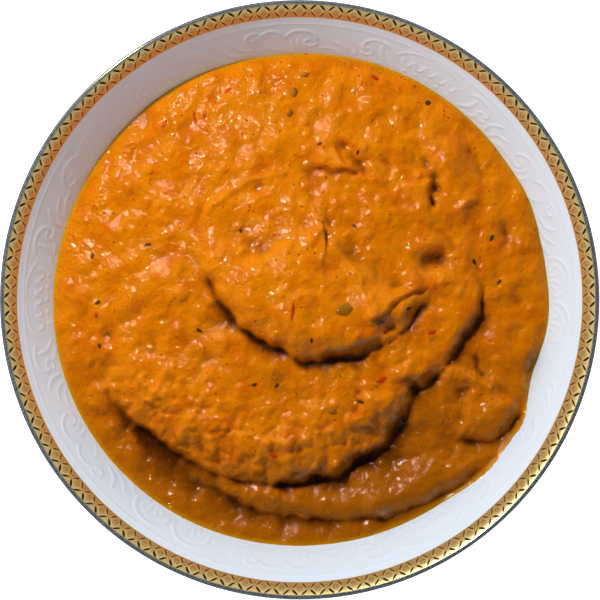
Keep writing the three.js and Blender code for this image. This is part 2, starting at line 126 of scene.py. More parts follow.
RELIEF_DABS = (
    # name, s and t at start, s and t at end, bow, width, height
    ("egg", -0.2, 10.0, 0.2, 10.0, 0.0, 0.8, 0.26),
    ("egg", 3.2, 10.1, 3.6, 10.1, 0.0, 0.8, 0.26),
    ("egg", 6.6, 10.4, 7.0, 10.3, 0.0, 0.8, 0.24),
    ("leaf", 11.0, 10.8, 14.6, 4.0, 1.2, 0.6, 0.22),
    ("leaf", 13.4, 11.4, 16.8, 9.4, 0.8, 0.7, 0.20),
    ("leaf", 21.4, 10.8, 24.4, 4.2, -1.1, 0.6, 0.22),
    ("leaf", 23.6, 11.2, 28.2, 6.6, -1.2, 0.6, 0.20),
    ("leaf", 25.4, 11.4, 31.0, 9.8, -0.8, 0.6, 0.18),
    ("leaf", 35.6, 10.8, 37.4, 6.4, 0.7, 0.5, 0.18),
    ("leaf", 38.4, 10.8, 39.0, 7.0, 0.5, 0.5, 0.16),
    ("leaf", 43.4, 11.0, 46.4, 7.2, 0.8, 0.5, 0.18),
    ("leaf", 50.6, 9.8, 55.4, 4.6, 1.4, 0.6, 0.22),
    ("leaf", 52.4, 11.2, 58.8, 6.8, 1.3, 0.6, 0.20),
    ("leaf", 55.4, 11.8, 61.2, 9.6, 0.9, 0.6, 0.18),
    ("leaf in the arch", 66.0, 11.6, 64.6, 7.8, 0.6, 0.5, 0.16),
    ("leaf in the arch", 67.4, 11.4, 67.0, 6.6, 0.3, 0.5, 0.18),
    ("leaf in the arch", 69.0, 11.4, 69.8, 6.8, -0.3, 0.5, 0.18),
    ("leaf in the arch", 70.4, 11.6, 72.0, 8.2, -0.6, 0.5, 0.16),
    ("drop", 75.4, 4.6, 75.4, 6.2, 0.0, 0.7, 0.2),
)

# The gilt band runs from its brow down to the lip's foot.
BAND_BROW = {"radius": 78.85, "depth": 0.18}
BAND_SWELL = 0.22
BAND_STEPS = 12
GILT_LIFT = 0.012
INLAY_LIFT = 0.03
CELLS = 100

# One cell's ornament, in shares of its width and of the band's breadth down from the brow.
BROW_PETAL = {"across": 0.26, "down": 0.24, "half_length": 0.28, "half_breadth": 0.1, "slant": 1.37}
FOOT_PETAL = {"across": 0.26, "down": 0.76, "half_length": 0.25, "half_breadth": 0.055, "slant": -1.37}
PETAL_POINT = 1.4
LOZENGES = (0.19, 0.09)
LOZENGE_HEIGHT = 1.25
BARS = (0.465, 0.535)
BAR_REACH = 0.42
LINE_BREADTH = 0.02
INLAY_EDGE = 0.005  # mm over the band

# ------------------------------------------------------------------ the relish's sizes, mm
# Heights are measured from its edge on the wall.

FOOD_EDGE_RADIUS = 68.0
FOOD_RINGS = 160
FOOD_SEAT = 0.3
FOOD_GAP = 0.35
UNDERSIDE_SIDES = 96
EDGE_ROLL = 2.0
FILM = {"height": 0.5, "roll": 0.35}
HEAP = {"x": 3, "y": 0, "height": 8, "reach": 71, "fullness": 1.6, "least": 0.4}

# Places where the edge on the wall is pushed out or, where the reach is negative, drawn in.
EDGE_BENDS = (
    # direction in degrees, reach, spread
    (-29, 1.5, 5),
    (-41, 1.7, 9),
    (-17, -0.9, 6),
    (-88, -0.4, 24),
    (152, -0.8, 34),
    (98, -0.5, 18),
    (24, 0.5, 7),
    (-3, 0.4, 7),
)

SWELLS = ((0.3, 24, 1), (0.26, 13, 2), (0.24, 9, 3))  # height, length, seed
WANDER = {"reach": 0.5, "length": 16, "seed_x": 5, "seed_y": 7}
RIPPLE_WAVES = 5
RIPPLE_SPREAD = 0.12
GOLDEN_ANGLE = 2.4

# Long folds, each a cliff whose high side is on the inside. An arc turns about (x, y) from
# angle start to end, its radius runs from r0 to r1, sways out and leans to one end.
LONG_FOLDS = (
    {
        "name": "outer lip",
        "arcs": (
            (0, 0, 62.5, 40.4, 1.2, -1.6, -175, -38),
            (20.6, 4.7, 32.3, 26.4, -0.2, -1.4, -66, 16),
        ),
        "rise": 7.8, "rise_end": 3.6, "face": 13, "face_end": 3.4, "round": 1.5,
        "back": 16, "fore": 14, "share": 0.35, "crease": 0.6, "fade_in": 0.3, "fade_out": 0.1,
    },
    {
        "name": "dollop",
        "arcs": (
            (12.2, 24.6, 42.5, 42.5, 0, 0, -176, -99),
            (7.7, 14.5, 31.6, 31, -0.6, 0, -93, -22),
        ),
        "rise": 6.2, "rise_end": 4.4, "face": 8.5, "face_end": 4.5,
        "back": 24, "fore": 8, "share": 0.9, "crease": 0.7, "fade_in": 0.32, "fade_out": 0.1,
    },
    {
        "name": "skirt",
        "arcs": ((0, 0, 55.6, 69.4, -1.8, 0, -137, -38),),
        "rise": 3.6, "face": 4.4, "round": 1.4,
        "back": 8, "fore": 8, "share": 0.7, "crease": 0, "fade_in": 0.35, "fade_out": 0.12,
    },
)

# Short folds, from one end to the other with the high side on the left.
SHORT_FOLD_KEYS = (
    "name", "start", "end", "bow",
    "rise", "face", "back", "fore", "share", "crease", "fade_in", "fade_out",
)
SHORT_FOLDS = tuple(dict(zip(SHORT_FOLD_KEYS, row)) for row in (
    ("shelf rim", (21.1, -6.5), (36.1, 3.5), 1.6, 2.0, 1.0, 6, 5, 0.4, 0.2, 0.02, 0.25),
    ("crest, upper end", (9.7, 18.4), (1.4, 31.7), 1, 1.1, 2.4, 6, 5, 0.5, 0, 0.15, 0.35),
    ("crest", (21.6, -6.5), (8.6, 18.1), -1.6, 1.6, 2.6, 5, 7, 0.6, 0, 0.02, 0.15),
    ("finger, lower side", (0, 37.2), (16.3, 34.7), -0.5, 1.9, 1.2, 3.6, 5, 0.6, 0.4, 0.35, 0.04),
    ("finger, upper side", (19.5, 33.1), (8.2, 42.7), 1, 1.2, 1.2, 3, 3, 0.4, 0.15, 0.1, 0.3),
    ("clump side", (36.9, 22.8), (35.7, 33.8), 0.6, 1.7, 0.8, 5, 2.5, 0.6, 0.3, 0.3, 0.05),
    ("clump top", (35.9, 33.8), (27.7, 32.6), 0.8, 1.2, 0.8, 4, 4, 0.6, 0.1, 0.02, 0.3),
    ("lower right lip", (41.3, -38.6), (61.6, -31.2), -3.2, 4.0, 6, 8, 4, 0.6, 0, 0.3, 0.02),
    ("right flank", (59.7, -22.5), (66.9, -4.4), -2, 1.8, 2.6, 6, 4, 0.5, 0.1, 0.2, 0.35),
))

# Ridges left by the spoon and, where the rise is negative, furrows.
STROKES = (
    # name, start, end, bow, rise, width, fade in, fade out
    ("nose", (10.0, 15.5), (20.4, -5.0), 1.4, 0.9, 1.6, 0.3, 0.04),
    ("nose's tip", (18.6, 4.6), (20.7, -5.2), 0.3, 1.9, 1.7, 0.4, 0.03),
    ("dollop's upper edge", (-28.2, 16.1), (0, 34.3), 6.8, 0.6, 1.0, 0.3, 0.3),
    ("dollop's upper furrow", (-29.9, 18.0), (-0.5, 36.9), 7.0, -0.5, 1.4, 0.3, 0.3),
    ("finger", (-1.4, 40.2), (15.5, 35.5), 1.2, 0.8, 2.2, 0.3, 0.05),
    ("upper finger", (9, 45.4), (19.6, 40.5), 0.4, 0.9, 1.6, 0.3, 0.2),
    ("finger furrow", (9.5, 43.5), (21.7, 32.3), 0.4, -0.9, 1.2, 0.2, 0.2),
    ("clump furrow", (33.8, 40.9), (40, 27.2), -1, -0.8, 1.5, 0.2, 0.25),
    ("broad ridge", (38.3, 50.7), (46.3, 24.5), -1.4, 1.5, 3.4, 0.35, 0.1),
    ("long furrow", (43.8, 43.8), (51.9, 30.1), 0, -0.8, 1.7, 0.3, 0.3),
    ("side furrow", (53.8, 23.2), (56.5, 11.5), 0.8, -0.7, 1.7, 0.3, 0.3),
    ("low ridge", (39.4, -19.6), (53.8, -26), 0.9, 1, 1.4, 0.3, 0.2),
    ("left ridge", (-44.4, -20.4), (-38.6, -28), 0.5, 1, 1.2, 0.3, 0.2),
    ("fold line", (35.3, 20.4), (45.1, 8.2), 1.2, -0.6, 0.9, 0.2, 0.2),
    ("low groove", (47.4, -14.2), (49.6, -21.8), 0.5, -0.9, 0.9, 0.3, 0.2),
    ("wrinkle", (-34.8, -25.3), (-27.1, -25.2), 0.4, -0.5, 1.1, 0.3, 0.3),
    ("wrinkle", (-31.8, -29.3), (-21.7, -29.3), 0.4, -0.6, 1.1, 0.3, 0.3),
    ("wrinkle", (-27.2, -36.7), (-22.8, -37.2), 0, -0.5, 0.9, 0.3, 0.3),
    ("wrinkle", (-16.3, -36.9), (-2.7, -37.2), 0.6, -0.6, 1.1, 0.3, 0.3),
    ("wrinkle", (-15, -42.7), (-10.3, -42.9), 0, -0.5, 0.9, 0.3, 0.3),
    ("wrinkle", (-0.5, -40.2), (6, -39.4), 0.3, -0.4, 1, 0.3, 0.3),
    ("wrinkle", (14.9, -24.6), (22.2, -24.4), 0.4, -0.5, 1, 0.3, 0.3),
)

# Lumps of pulp and, where the rise is negative, hollows.
LUMPS = (
    # name, x, y, rise, width, depth, turn
    ("hollow", 36.9, 11.7, -1.5, 4.2, 2.8, 20),
    ("pit", 35.9, 25.5, -1.6, 0.8, 1.8, 0),
    ("side lobe's tip", 39.4, 3.8, 2.0, 3.6, 3.0, 0),
    ("nose's pocket", 24.4, -7.6, -2.0, 3.0, 2.0, 35),
    ("shelf's floor", 30.6, -3.2, -1.3, 4.6, 2.0, 32),
    ("broad ridge's end", 45.2, 26.2, 0.9, 2.4, 2.6, 0),
    ("ridge's knob", 38.4, 37.4, 0.7, 1.8, 2.2, 0),
    ("clump", 31, 30.4, 0.7, 3, 2.6, 0),
    ("horn", 32.1, 34.3, 0.8, 0.8, 1, 0),
    ("horn", 35.1, 32.4, 0.9, 0.8, 1, 0),
    ("left pocket", -39.2, -30.5, -1.1, 2.6, 1.8, 20),
    ("low hollow", 45.2, -25.1, -0.9, 3.4, 1.2, 0),
    ("corner lump", 57.5, -28.8, 0.9, 2.4, 1.8, 0),
    ("skirt lump", 49.3, -41.6, 0.8, 3, 2.2, 20),
    ("notch lump", 32.6, -32.6, 0.9, 2.2, 1.8, 20),
    ("left lump", -51.9, -23.8, 0.8, 1.8, 1.6, 0),
    ("left lump", -48.3, -27.8, 0.8, 1.6, 1.6, 0),
    ("left lump", -45, -31.6, 0.8, 1.8, 1.6, 0),
    ("left lump", -40.9, -34.9, 0.7, 2, 1.5, 0),
    ("lip lump", -30.7, -35.4, 0.9, 2.6, 2, 0),
    ("lip lump", -23.7, -39.4, 0.9, 2.2, 2, 0),
    ("lip lump", -29.4, -41.7, 0.7, 2.2, 1.5, -20),
    ("lip lump", -17.1, -43.5, 0.7, 2.2, 1.5, -10),
    ("crown", 0, 0, 0.6, 4.5, 3, 0),
    ("shoulder", -19.5, 25.7, 0.6, 3.6, 3, 0),
    ("shoulder dent", -10.3, 30.3, -0.6, 2.6, 1.4, 30),
    ("left dent", -52.3, -9, -0.7, 2, 2.2, 0),
    ("left dent", -46.2, -4.9, -0.5, 4.5, 1.4, 25),
)

# How a fold falls from its brow, and how its reach shrinks towards its ends.
FOLD_ROUNDNESS = 1.7
FACE_STEEPNESS = 0.78
BACK_ROUNDNESS = 1.5
FORE_ROUNDNESS = 1.3
LATE = (0.58, 0.82)  # where a long fold goes over to the rise and face of its end
REACH_FADE = 0.3
LEAST_REACH = 0.12
LEAST_FACE = 0.4
CREASE_BREADTH = 1.5
CREASE_REACH = 0.28
CREASE_MIDDLE = 0.5
ARC_STEPS = 72
RELIEF_ARC_STEPS = 28
DAB_STEPS = 8

# The minced grain, from coarse to fine, and how far it bends the folds.
GRAIN = ((0.4, 7.0, 10), (0.5, 4.3, 11), (0.34, 2.4, 12), (0.15, 1.3, 13))  # height, cell, seed
PULP = 0.4  # how far the grain is rounded lumps with creases between them
# coarser behind the outer lip, between shares of its length
LUMPY = {"middle": 9, "breadth": 9, "gain": 1.5, "starts": (0.05, 0.25), "ends": (0.6, 0.9)}
PULP_MEAN = 0.6
GRAIN_BEND = {"reach": 0.5, "cell": 3.0, "seed_x": 21, "seed_y": 22}
NOISE_TABLE = 128

# Painted shade: the relish is darkened where it lies below its smoothed surface, broadly in the valleys and
# finely in the creases.
HOLLOW_STEP = 0.6
VALLEY_SHADE = {"breadth": 6.5, "low": 0.2, "high": 2.8}
CREASE_SHADE = {"breadth": 1.8, "low": 0.2, "high": 1.7}

# Painted shade: steep faces turned from the key light are darkened, and the same mask gives them a glossy
# coat that mirrors the pale wall.
STEEP_SHADE = {"breadth": 1.0, "low": 0.5, "high": 1.2, "heading": 127}  # low and high are slopes
RIM_OIL = {"breadth": 0.9, "strength": 0.75}

# Painted shadow of the outer lip: the relish is darkened outside the lip's foot and down to the wall,
# fullest round the bottom, on the side turned from the key light.
LIP_SHADOW_ZONE = {"high": 6, "low": -6, "middle": -92, "full": 28, "none": 95}

# --------------------------------------------------------------------- the bits' places, mm
# x, y, length, breadth, turn
HERB_BITS = (
    (35.1, 53.9, 1.7, 1.7, 10), (52.4, 16.9, 2.1, 1.0, 60), (-41.4, 15.0, 2.0, 0.9, 20),
    (-56.6, 12.0, 2.1, 0.9, 75), (-55.2, -0.8, 1.8, 1.0, 40), (-54.7, -12.6, 1.6, 0.9, 100),
    (-27.2, -8.4, 2.0, 0.9, 150), (-12.2, -23.0, 1.8, 0.9, 20), (16.5, -27.6, 2.2, 0.9, 170),
    (-6.2, -23.3, 1.4, 0.8, 60), (-16.0, 18.7, 1.4, 0.8, 110), (14.9, 20.0, 1.5, 0.8, 130),
    (5.4, 42.3, 1.6, 0.8, 30), (15.8, 40.0, 1.4, 0.8, 80), (47.6, 10.3, 1.9, 0.9, 120),
    (54.5, 4.9, 1.6, 0.9, 50), (29.5, -2.4, 1.6, 0.8, 20), (3.2, -11.0, 1.4, 0.8, 100),
    (22.0, -60.1, 2.2, 1.1, 160),
)
PEPPER_BITS = (
    (12.1, -2.7, 5.0, 3.4, 20), (-1.4, 56.5, 3.0, 1.6, 80), (-2.7, 50.9, 2.4, 1.5, 60),
    (1.4, 61.5, 2.4, 1.4, 10), (8.9, -30.3, 2.6, 1.5, 10),
)
SKIN_BITS = (
    (35.8, -8.9, 2.7, 1.2, 10), (22.2, -21.7, 3.2, 1.6, 20), (-7.0, -42.3, 2.4, 1.2, 160),
    (-28.7, 49.7, 4.8, 0.8, 100), (-26.0, 50.6, 2.4, 0.9, 80), (-19.7, 57.1, 2.4, 0.9, 30),
    (20.5, 60.8, 2.6, 1.0, 150), (-36.9, 47.9, 2.6, 0.9, 60), (-55.5, -4.1, 2.0, 0.9, 90),
    (-1.9, -3.0, 5.6, 1.0, 84),
)
STREW_UPWARD = 0.35  # tiny bits lie only where the normal points up by more

# ---------------------------------------------------------------------- the room's light
# share of the way from straight down to straight up, colour
ROOM_STOPS = (
    (0.0, (0.3, 0.32, 0.35)), (0.5, (0.84, 0.91, 1.0)), (0.725, (0.5, 0.54, 0.6)),
    (0.9, (0.14, 0.15, 0.165)), (1.0, (0.05, 0.055, 0.06)),
)
FLOOR_REACH = 1500.0
CAMERA_SHIFT = (0.000107, -0.000093)  # metres off the bowl's axis


def smoothstep(value, low, high):
    t = np.clip((value - low) / (high - low), 0, 1)
    return t * t * (3 - 2 * t)


# ------------------------------------------------------------------------ the relish's form


def ripple(x, y, length, seed):
    """Even waves of about one wavelength that cross in several directions."""
    total = 0
    for k in range(RIPPLE_WAVES):
        heading = seed + k * GOLDEN_ANGLE
        along = x * math.cos(heading) + y * math.sin(heading)
        pitch = length * (1 + RIPPLE_SPREAD * (k - 2))
        total = total + np.sin(2 * math.pi * along / pitch + seed * (k + 1))
    return total / math.sqrt(RIPPLE_WAVES)


def cell_noise(x, y, cell, seed):
    """Smooth noise of about -1 to 1 between random values on a square lattice."""
    lattice = np.random.RandomState(seed).uniform(-1, 1, (NOISE_TABLE, NOISE_TABLE))
    # each layer's lattice is turned its own way, so that no grid shows through
    c, s = math.cos(seed), math.sin(seed)
    u = (x * c + y * s) / cell + NOISE_TABLE / 2 + 0.3
    v = (y * c - x * s) / cell + NOISE_TABLE / 2 - 0.3
    i = np.floor(u).astype(int)
    j = np.floor(v).astype(int)
    fu = u - i
    fv = v - j
    fu = fu ** 3 * (fu * (fu * 6 - 15) + 10)
    fv = fv ** 3 * (fv * (fv * 6 - 15) + 10)
    i, j, i1, j1 = (k % NOISE_TABLE for k in (i, j, i + 1, j + 1))
    low = lattice[j, i] * (1 - fu) + lattice[j, i1] * fu
    high = lattice[j1, i] * (1 - fu) + lattice[j1, i1] * fu
    return low * (1 - fv) + high * fv


def arc_points(arc):
    """The points of a spoon stroke that runs round the bowl."""
    x, y, r0, r1, sway, lean, start, end = arc
    t = np.linspace(0, 1, ARC_STEPS + 1)
    radius = r0 + (r1 - r0) * t + sway * np.sin(math.pi * t) + lean * np.sin(2 * math.pi * t)
    angle = np.radians(start + (end - start) * t)
    return np.stack([x + radius * np.cos(angle), y + radius * np.sin(angle)], 1)


def dab_points(start, end, bow):
    """The points of a short stroke between two places, bowed to its left."""
    start = np.array(start, float)
    chord = np.array(end, float) - start
    left = np.array([-chord[1], chord[0]]) / np.hypot(*chord)
    t = np.linspace(0, 1, DAB_STEPS + 1)[:, None]
    return start + chord * t + left * bow * np.sin(math.pi * t)


def beside(path, x, y):
    """How far a place lies to the left of a path, and how far along it from 0 to 1."""
    nearest = np.full(np.shape(x), np.inf)
    side = np.zeros(np.shape(x))
    along = np.zeros(np.shape(x))
    walked = 0.0
    for (x0, y0), (x1, y1) in zip(path[:-1], path[1:]):
        dx, dy = x1 - x0, y1 - y0
        length = math.hypot(dx, dy)
        if length == 0:
            continue
        t = np.clip(((x - x0) * dx + (y - y0) * dy) / length ** 2, 0, 1)
        distance = np.hypot(x - x0 - t * dx, y - y0 - t * dy)
        closer = distance < nearest
        signed = np.where(dx * (y - y0) - dy * (x - x0) < 0, -distance, distance)
        nearest = np.where(closer, distance, nearest)
        side = np.where(closer, signed, side)
        along = np.where(closer, walked + t * length, along)
        walked += length
    return side, along / walked


def fade(along, fade_in, fade_out):
    """0 at both ends of a stroke and 1 between them."""
    return smoothstep(along, 0, fade_in) * smoothstep(1 - along, 0, fade_out)


def fold_path(fold):
    """The line of a fold's foot."""
    if "arcs" in fold:
        return np.vstack([arc_points(arc) for arc in fold["arcs"]])
    return dab_points(fold["start"], fold["end"], fold["bow"])


def fold_rise(fold, x, y):
    """A cliff: a slope behind a rounded brow, a steep face, and a hollow before its foot."""
    side, along = beside(fold_path(fold), x, y)
    strength = fade(along, fold["fade_in"], fold["fade_out"])
    ends = fade(along, max(fold["fade_in"], REACH_FADE), max(fold["fade_out"], REACH_FADE))
    reach = LEAST_REACH + (1 - LEAST_REACH) * ends
    late = smoothstep(along, *LATE)
    rise = fold["rise"] + (fold.get("rise_end", fold["rise"]) - fold["rise"]) * late
    face = fold["face"] + (fold.get("face_end", fold["face"]) - fold["face"]) * late
    face = face * (LEAST_FACE + (1 - LEAST_FACE) * strength)
    up = fold["share"] * rise
    down = (1 - fold["share"]) * rise
    fore = -down * np.exp(-(np.clip(-side, 0, None) / (fold["fore"] * reach)) ** FORE_ROUNDNESS)
    round_face = 1 - (1 - np.clip(side / face, 0, 1)) ** fold.get("round", FOLD_ROUNDNESS)
    cliff = -down + rise * round_face ** FACE_STEEPNESS
    back = up * np.exp(-(np.clip(side - face, 0, None) / (fold["back"] * reach)) ** BACK_ROUNDNESS)
    crease = fold["crease"] * np.exp(-((side / CREASE_BREADTH) ** 2))
    crease = crease * np.exp(-(((along - CREASE_MIDDLE) / CREASE_REACH) ** 2))
    return (np.where(side < 0, fore, np.where(side < face, cliff, back)) - crease) * strength


def edge_radius(direction):
    """The radius of the relish's edge on the wall, in a direction in radians."""
    radius = np.full(np.shape(direction), FOOD_EDGE_RADIUS)
    for at, reach, spread in EDGE_BENDS:
        away = (np.degrees(direction) - at + 180) % 360 - 180
        radius = radius + reach * np.exp(-((away / spread) ** 2))
    return radius


def wall_height(radius):
    """The inner wall's height at a radius, on the cone."""
    return BOWL_HEIGHT - LIP_FOOT["depth"] - (LIP_FOOT["radius"] - radius) / WALL_LEAN


def relish_height(x, y):
    """The relish's height over the table."""
    wx = x + WANDER["reach"] * ripple(x, y, WANDER["length"], WANDER["seed_x"])
    wy = y + WANDER["reach"] * ripple(x, y, WANDER["length"], WANDER["seed_y"])
    wx = wx + GRAIN_BEND["reach"] * cell_noise(x, y, GRAIN_BEND["cell"], GRAIN_BEND["seed_x"])
    wy = wy + GRAIN_BEND["reach"] * cell_noise(x, y, GRAIN_BEND["cell"], GRAIN_BEND["seed_y"])
    outward = np.clip(np.hypot(wx - HEAP["x"], wy - HEAP["y"]) / HEAP["reach"], 0, 1)
    rise = HEAP["height"] * (1 - outward ** HEAP["fullness"]) + HEAP["least"]
    for fold in LONG_FOLDS + SHORT_FOLDS:
        rise = rise + fold_rise(fold, wx, wy)
    for _, start, end, bow, height, width, fade_in, fade_out in STROKES:
        side, along = beside(dab_points(start, end, bow), wx, wy)
        rise = rise + height * np.exp(-((side / width) ** 2)) * fade(along, fade_in, fade_out)
    for _, cx, cy, height, width, depth, turn in LUMPS:
        c, s = math.cos(math.radians(turn)), math.sin(math.radians(turn))
        u = ((wx - cx) * c + (wy - cy) * s) / width
        v = (-(wx - cx) * s + (wy - cy) * c) / depth
        rise = rise + height * np.exp(-(u * u + v * v))
    for height, length, seed in SWELLS:
        rise = rise + height * ripple(x, y, length, seed)
    lip_side, lip_along = beside(fold_path(LONG_FOLDS[0]), x, y)
    lumpy = np.exp(-(((lip_side - LUMPY["middle"]) / LUMPY["breadth"]) ** 2))
    lumpy = lumpy * smoothstep(lip_along, *LUMPY["starts"]) * (1 - smoothstep(lip_along, *LUMPY["ends"]))
    for height, cell, seed in GRAIN:
        noise = cell_noise(x, y, cell, seed)
        noise = noise + PULP * (2 * np.abs(noise) - PULP_MEAN - noise)
        rise = rise + height * (1 + LUMPY["gain"] * lumpy) * noise
    edge = edge_radius(np.arctan2(y, x))
    inside = 1 - np.exp(-np.clip(edge - np.hypot(x, y), 0, None) / EDGE_ROLL)
    height = wall_height(edge) * (1 - inside) + (wall_height(FOOD_EDGE_RADIUS) + rise) * inside
    # where a fold dips by the wall, a film stays on the carving
    depth = np.clip(edge - np.hypot(x, y), 0, None)
    film = FILM["height"] * (1 - np.exp(-depth / FILM["roll"]))
    return np.maximum(height, wall_height(edge - depth) + film)


def smoothed_surface(x, y, breadth):
    """The surface smoothed over a breadth: how far each place lies under it, and its slopes."""
    reach = BOWL_RADIUS
    count = int(2 * reach / HOLLOW_STEP)
    line = -reach + HOLLOW_STEP * np.arange(count)
    grid = relish_height(*np.meshgrid(line, line))
    frequency = np.fft.fftfreq(count, HOLLOW_STEP)
    blur = np.exp(-2 * (math.pi * breadth * frequency) ** 2)
    smooth = np.fft.ifft2(np.fft.fft2(grid) * blur[:, None] * blur[None, :]).real
    slope_y, slope_x = np.gradient(smooth, HOLLOW_STEP)
    u = np.clip((x + reach) / HOLLOW_STEP, 0, count - 1.001)
    v = np.clip((y + reach) / HOLLOW_STEP, 0, count - 1.001)
    i, j = u.astype(int), v.astype(int)
    values = []
    for field in (smooth - grid, slope_x, slope_y):
        low = field[j, i] * (1 - u + i) + field[j, i + 1] * (u - i)
        high = field[j + 1, i] * (1 - u + i) + field[j + 1, i + 1] * (u - i)
        values.append(low * (1 - v + j) + high * (v - j))
    return values


def juice(x, y):
    """Where the outer lip's shadow is painted outside its foot, from 0 to 1."""
    side, _ = beside(fold_path(LONG_FOLDS[0]), x, y)
    away = np.abs((np.degrees(np.arctan2(y, x)) - LIP_SHADOW_ZONE["middle"] + 180) % 360 - 180)
    outside = smoothstep(-side, -LIP_SHADOW_ZONE["high"], -LIP_SHADOW_ZONE["low"])
    return outside * (1 - smoothstep(away, LIP_SHADOW_ZONE["full"], LIP_SHADOW_ZONE["none"]))


# ------------------------------------------------------------------------------ mesh helpers


def ring_triangles(first, first_count, second, second_count):
    """Triangles between two rings that both start at +X and run anticlockwise.

    first and second are the rings' first point numbers. The faces look up where the first
    ring is the inner one of a level pair.
    """
    if first_count == second_count:
        a = np.arange(first_count)
        b = (a + 1) % first_count
        lower = np.stack([first + a, second + a, first + b], 1)
        upper = np.stack([first + b, second + a, second + b], 1)
        return np.concatenate([lower, upper])
    triangles = []
    i = j = 0
    while i < first_count or j < second_count:
        a, b = first + i % first_count, second + j % second_count
        if j >= second_count or (i < first_count and (i + 1) * second_count < (j + 1) * first_count):
            i += 1
            triangles.append((a, b, first + i % first_count))
        else:
            j += 1
            triangles.append((a, b, second + j % second_count))
    return np.array([t for t in triangles if len(set(t)) == 3])


def stitched_rings(rings):
    """Points and triangles of a closed skin through rings of any counts."""
    starts = np.cumsum([0] + [len(ring) for ring in rings])
    triangles = [
        ring_triangles(starts[k], len(rings[k]), starts[k + 1], len(rings[k + 1]))
        for k in range(len(rings) - 1)
    ]
    return np.concatenate(rings), np.concatenate(triangles)


def add_mesh(context, name, points, triangles, *materials):
    """A smooth mesh object at the origin, from points in millimetres."""
    mesh = bpy.data.meshes.new(name)
    mesh.vertices.add(len(points))
    mesh.vertices.foreach_set("co", (np.asarray(points, float) * MM).ravel())
    mesh.loops.add(3 * len(triangles))
    mesh.loops.foreach_set("vertex_index", np.asarray(triangles, np.int32).ravel())
    mesh.polygons.add(len(triangles))
    mesh.polygons.foreach_set("loop_start", np.arange(0, 3 * len(triangles), 3))
    mesh.update(calc_edges=True)
    mesh.shade_smooth()
    for material in materials:
        mesh.materials.append(material)
    if mesh.validate():
        raise RuntimeError(f"{name} has broken faces")
    piece = bpy.data.objects.new(name, mesh)
    context.scene.collection.objects.link(piece)
    return piece


def ring_points(radius, height, count):
    direction = np.arange(count) * 2 * math.pi / count
    return np.stack([radius * np.cos(direction), radius * np.sin(direction), height + 0 * direction], 1)


# ------------------------------------------------------------------------------ the bowl's form


def floor_bend(offset, steps):
    """The bend between floor and wall, from the floor up, moved outwards by an offset."""
    angle = WALL_SLOPE * np.arange(steps + 1) / steps
    radius = FLOOR_RADIUS + (FLOOR_BEND + offset) * np.sin(angle)
    depth = FLOOR_DEPTH - FLOOR_BEND + (FLOOR_BEND + offset) * np.cos(angle)
    return list(zip(radius, BOWL_HEIGHT - depth))


def lip_curve(share):
    """Radius and height on the lip, from the band's brow at 0 to the lip's foot at 1."""
    brow = np.array([BAND_BROW["radius"], BOWL_HEIGHT - BAND_BROW["depth"]])
    bend = np.array([LIP_BEND["radius"], BOWL_HEIGHT - LIP_BEND["depth"]])
    foot = np.array([LIP_FOOT["radius"], BOWL_HEIGHT - LIP_FOOT["depth"]])
    middle = bend + BAND_SWELL * np.array([-1.0, 1.0]) / math.sqrt(2)
    control = 2 * middle - (brow + foot) / 2
    t = np.asarray(share, float)[..., None]
    return brow * (1 - t) ** 2 + control * 2 * t * (1 - t) + foot * t ** 2


def lip_point(turn, share, lift):
    """A point over the gilt band: turn in radians round the bowl, share of the way down."""
    step = 0.01
    here = lip_curve(share)
    along = lip_curve(np.asarray(share) + step) - lip_curve(np.asarray(share) - step)
    along /= np.linalg.norm(along, axis=-1, keepdims=True)
    radius = here[..., 0] + along[..., 1] * lift
    height = here[..., 1] - along[..., 0] * lift
    return np.stack([radius * np.cos(turn), radius * np.sin(turn), height], -1)


def relief_rise(s, t):
    """The height of the carved relief, in half a repeat."""
    rise = np.zeros(np.shape(s))
    for _, cs, ct, a0, a1, b0, b1, start, end, width, height in RELIEF_ARCS:
        share = np.linspace(0, 1, RELIEF_ARC_STEPS + 1)
        angle = np.radians(start + (end - start) * share)
        along = cs + (a0 + (a1 - a0) * share) * np.cos(angle)
        down = ct + (b0 + (b1 - b0) * share) * np.sin(angle)
        side, walked = beside(np.stack([along, down], 1), s, t)
        stroke = height * np.exp(-((side / width) ** 2)) * fade(walked, STROKE_FADE, STROKE_FADE)
        rise = np.maximum(rise, stroke)
    for _, s0, t0, s1, t1, bow, width, height in RELIEF_DABS:
        side, walked = beside(dab_points((s0, t0), (s1, t1), bow), s, t)
        taper = width * (0.5 + 0.5 * np.sin(math.pi * walked))
        rise = np.maximum(rise, height * np.exp(-((side / taper) ** 2)))
    return rise


def relief_rings(height_scale):
    """Rings of the inner wall from below the relish's edge up to the lip's foot."""
    depths = np.arange(RELIEF_BOTTOM, LIP_FOOT["depth"] + 0.3, -RELIEF_STEP)
    half = RELIEF_SIDES // (2 * RELIEF_REPEATS)
    middle_radius = LIP_FOOT["radius"] - (RELIEF_MIDDLE - LIP_FOOT["depth"]) * WALL_LEAN
    s = np.arange(half + 1) * 2 * math.pi * middle_radius / RELIEF_SIDES
    t = (depths - RELIEF_TOP) / math.sin(WALL_SLOPE)
    rise = relief_rise(*np.meshgrid(s, t))
    rise *= smoothstep(t, 0.2, 1.2)[:, None] * height_scale
    # the thin raised line that closes the smooth strip
    rise += RELIEF_BEAD["height"] * np.exp(-((t / RELIEF_BEAD["breadth"]) ** 2))[:, None]
    repeat = np.concatenate([rise, rise[:, -2:0:-1]], 1)
    around = np.tile(repeat, (1, RELIEF_REPEATS))
    # the palmettes stand at 180 degrees and a third of a turn either side
    around = np.roll(around, RELIEF_SIDES // 2, axis=1)
    direction = np.arange(RELIEF_SIDES) * 2 * math.pi / RELIEF_SIDES
    rings = []
    for depth, lift in zip(depths, around):
        radius = LIP_FOOT["radius"] - (depth - LIP_FOOT["depth"]) * WALL_LEAN
        radius = radius - lift * math.sin(WALL_SLOPE)
        height = BOWL_HEIGHT - depth + lift * math.cos(WALL_SLOPE)
        rings.append(np.stack([radius * np.cos(direction), radius * np.sin(direction), height], 1))
    return rings


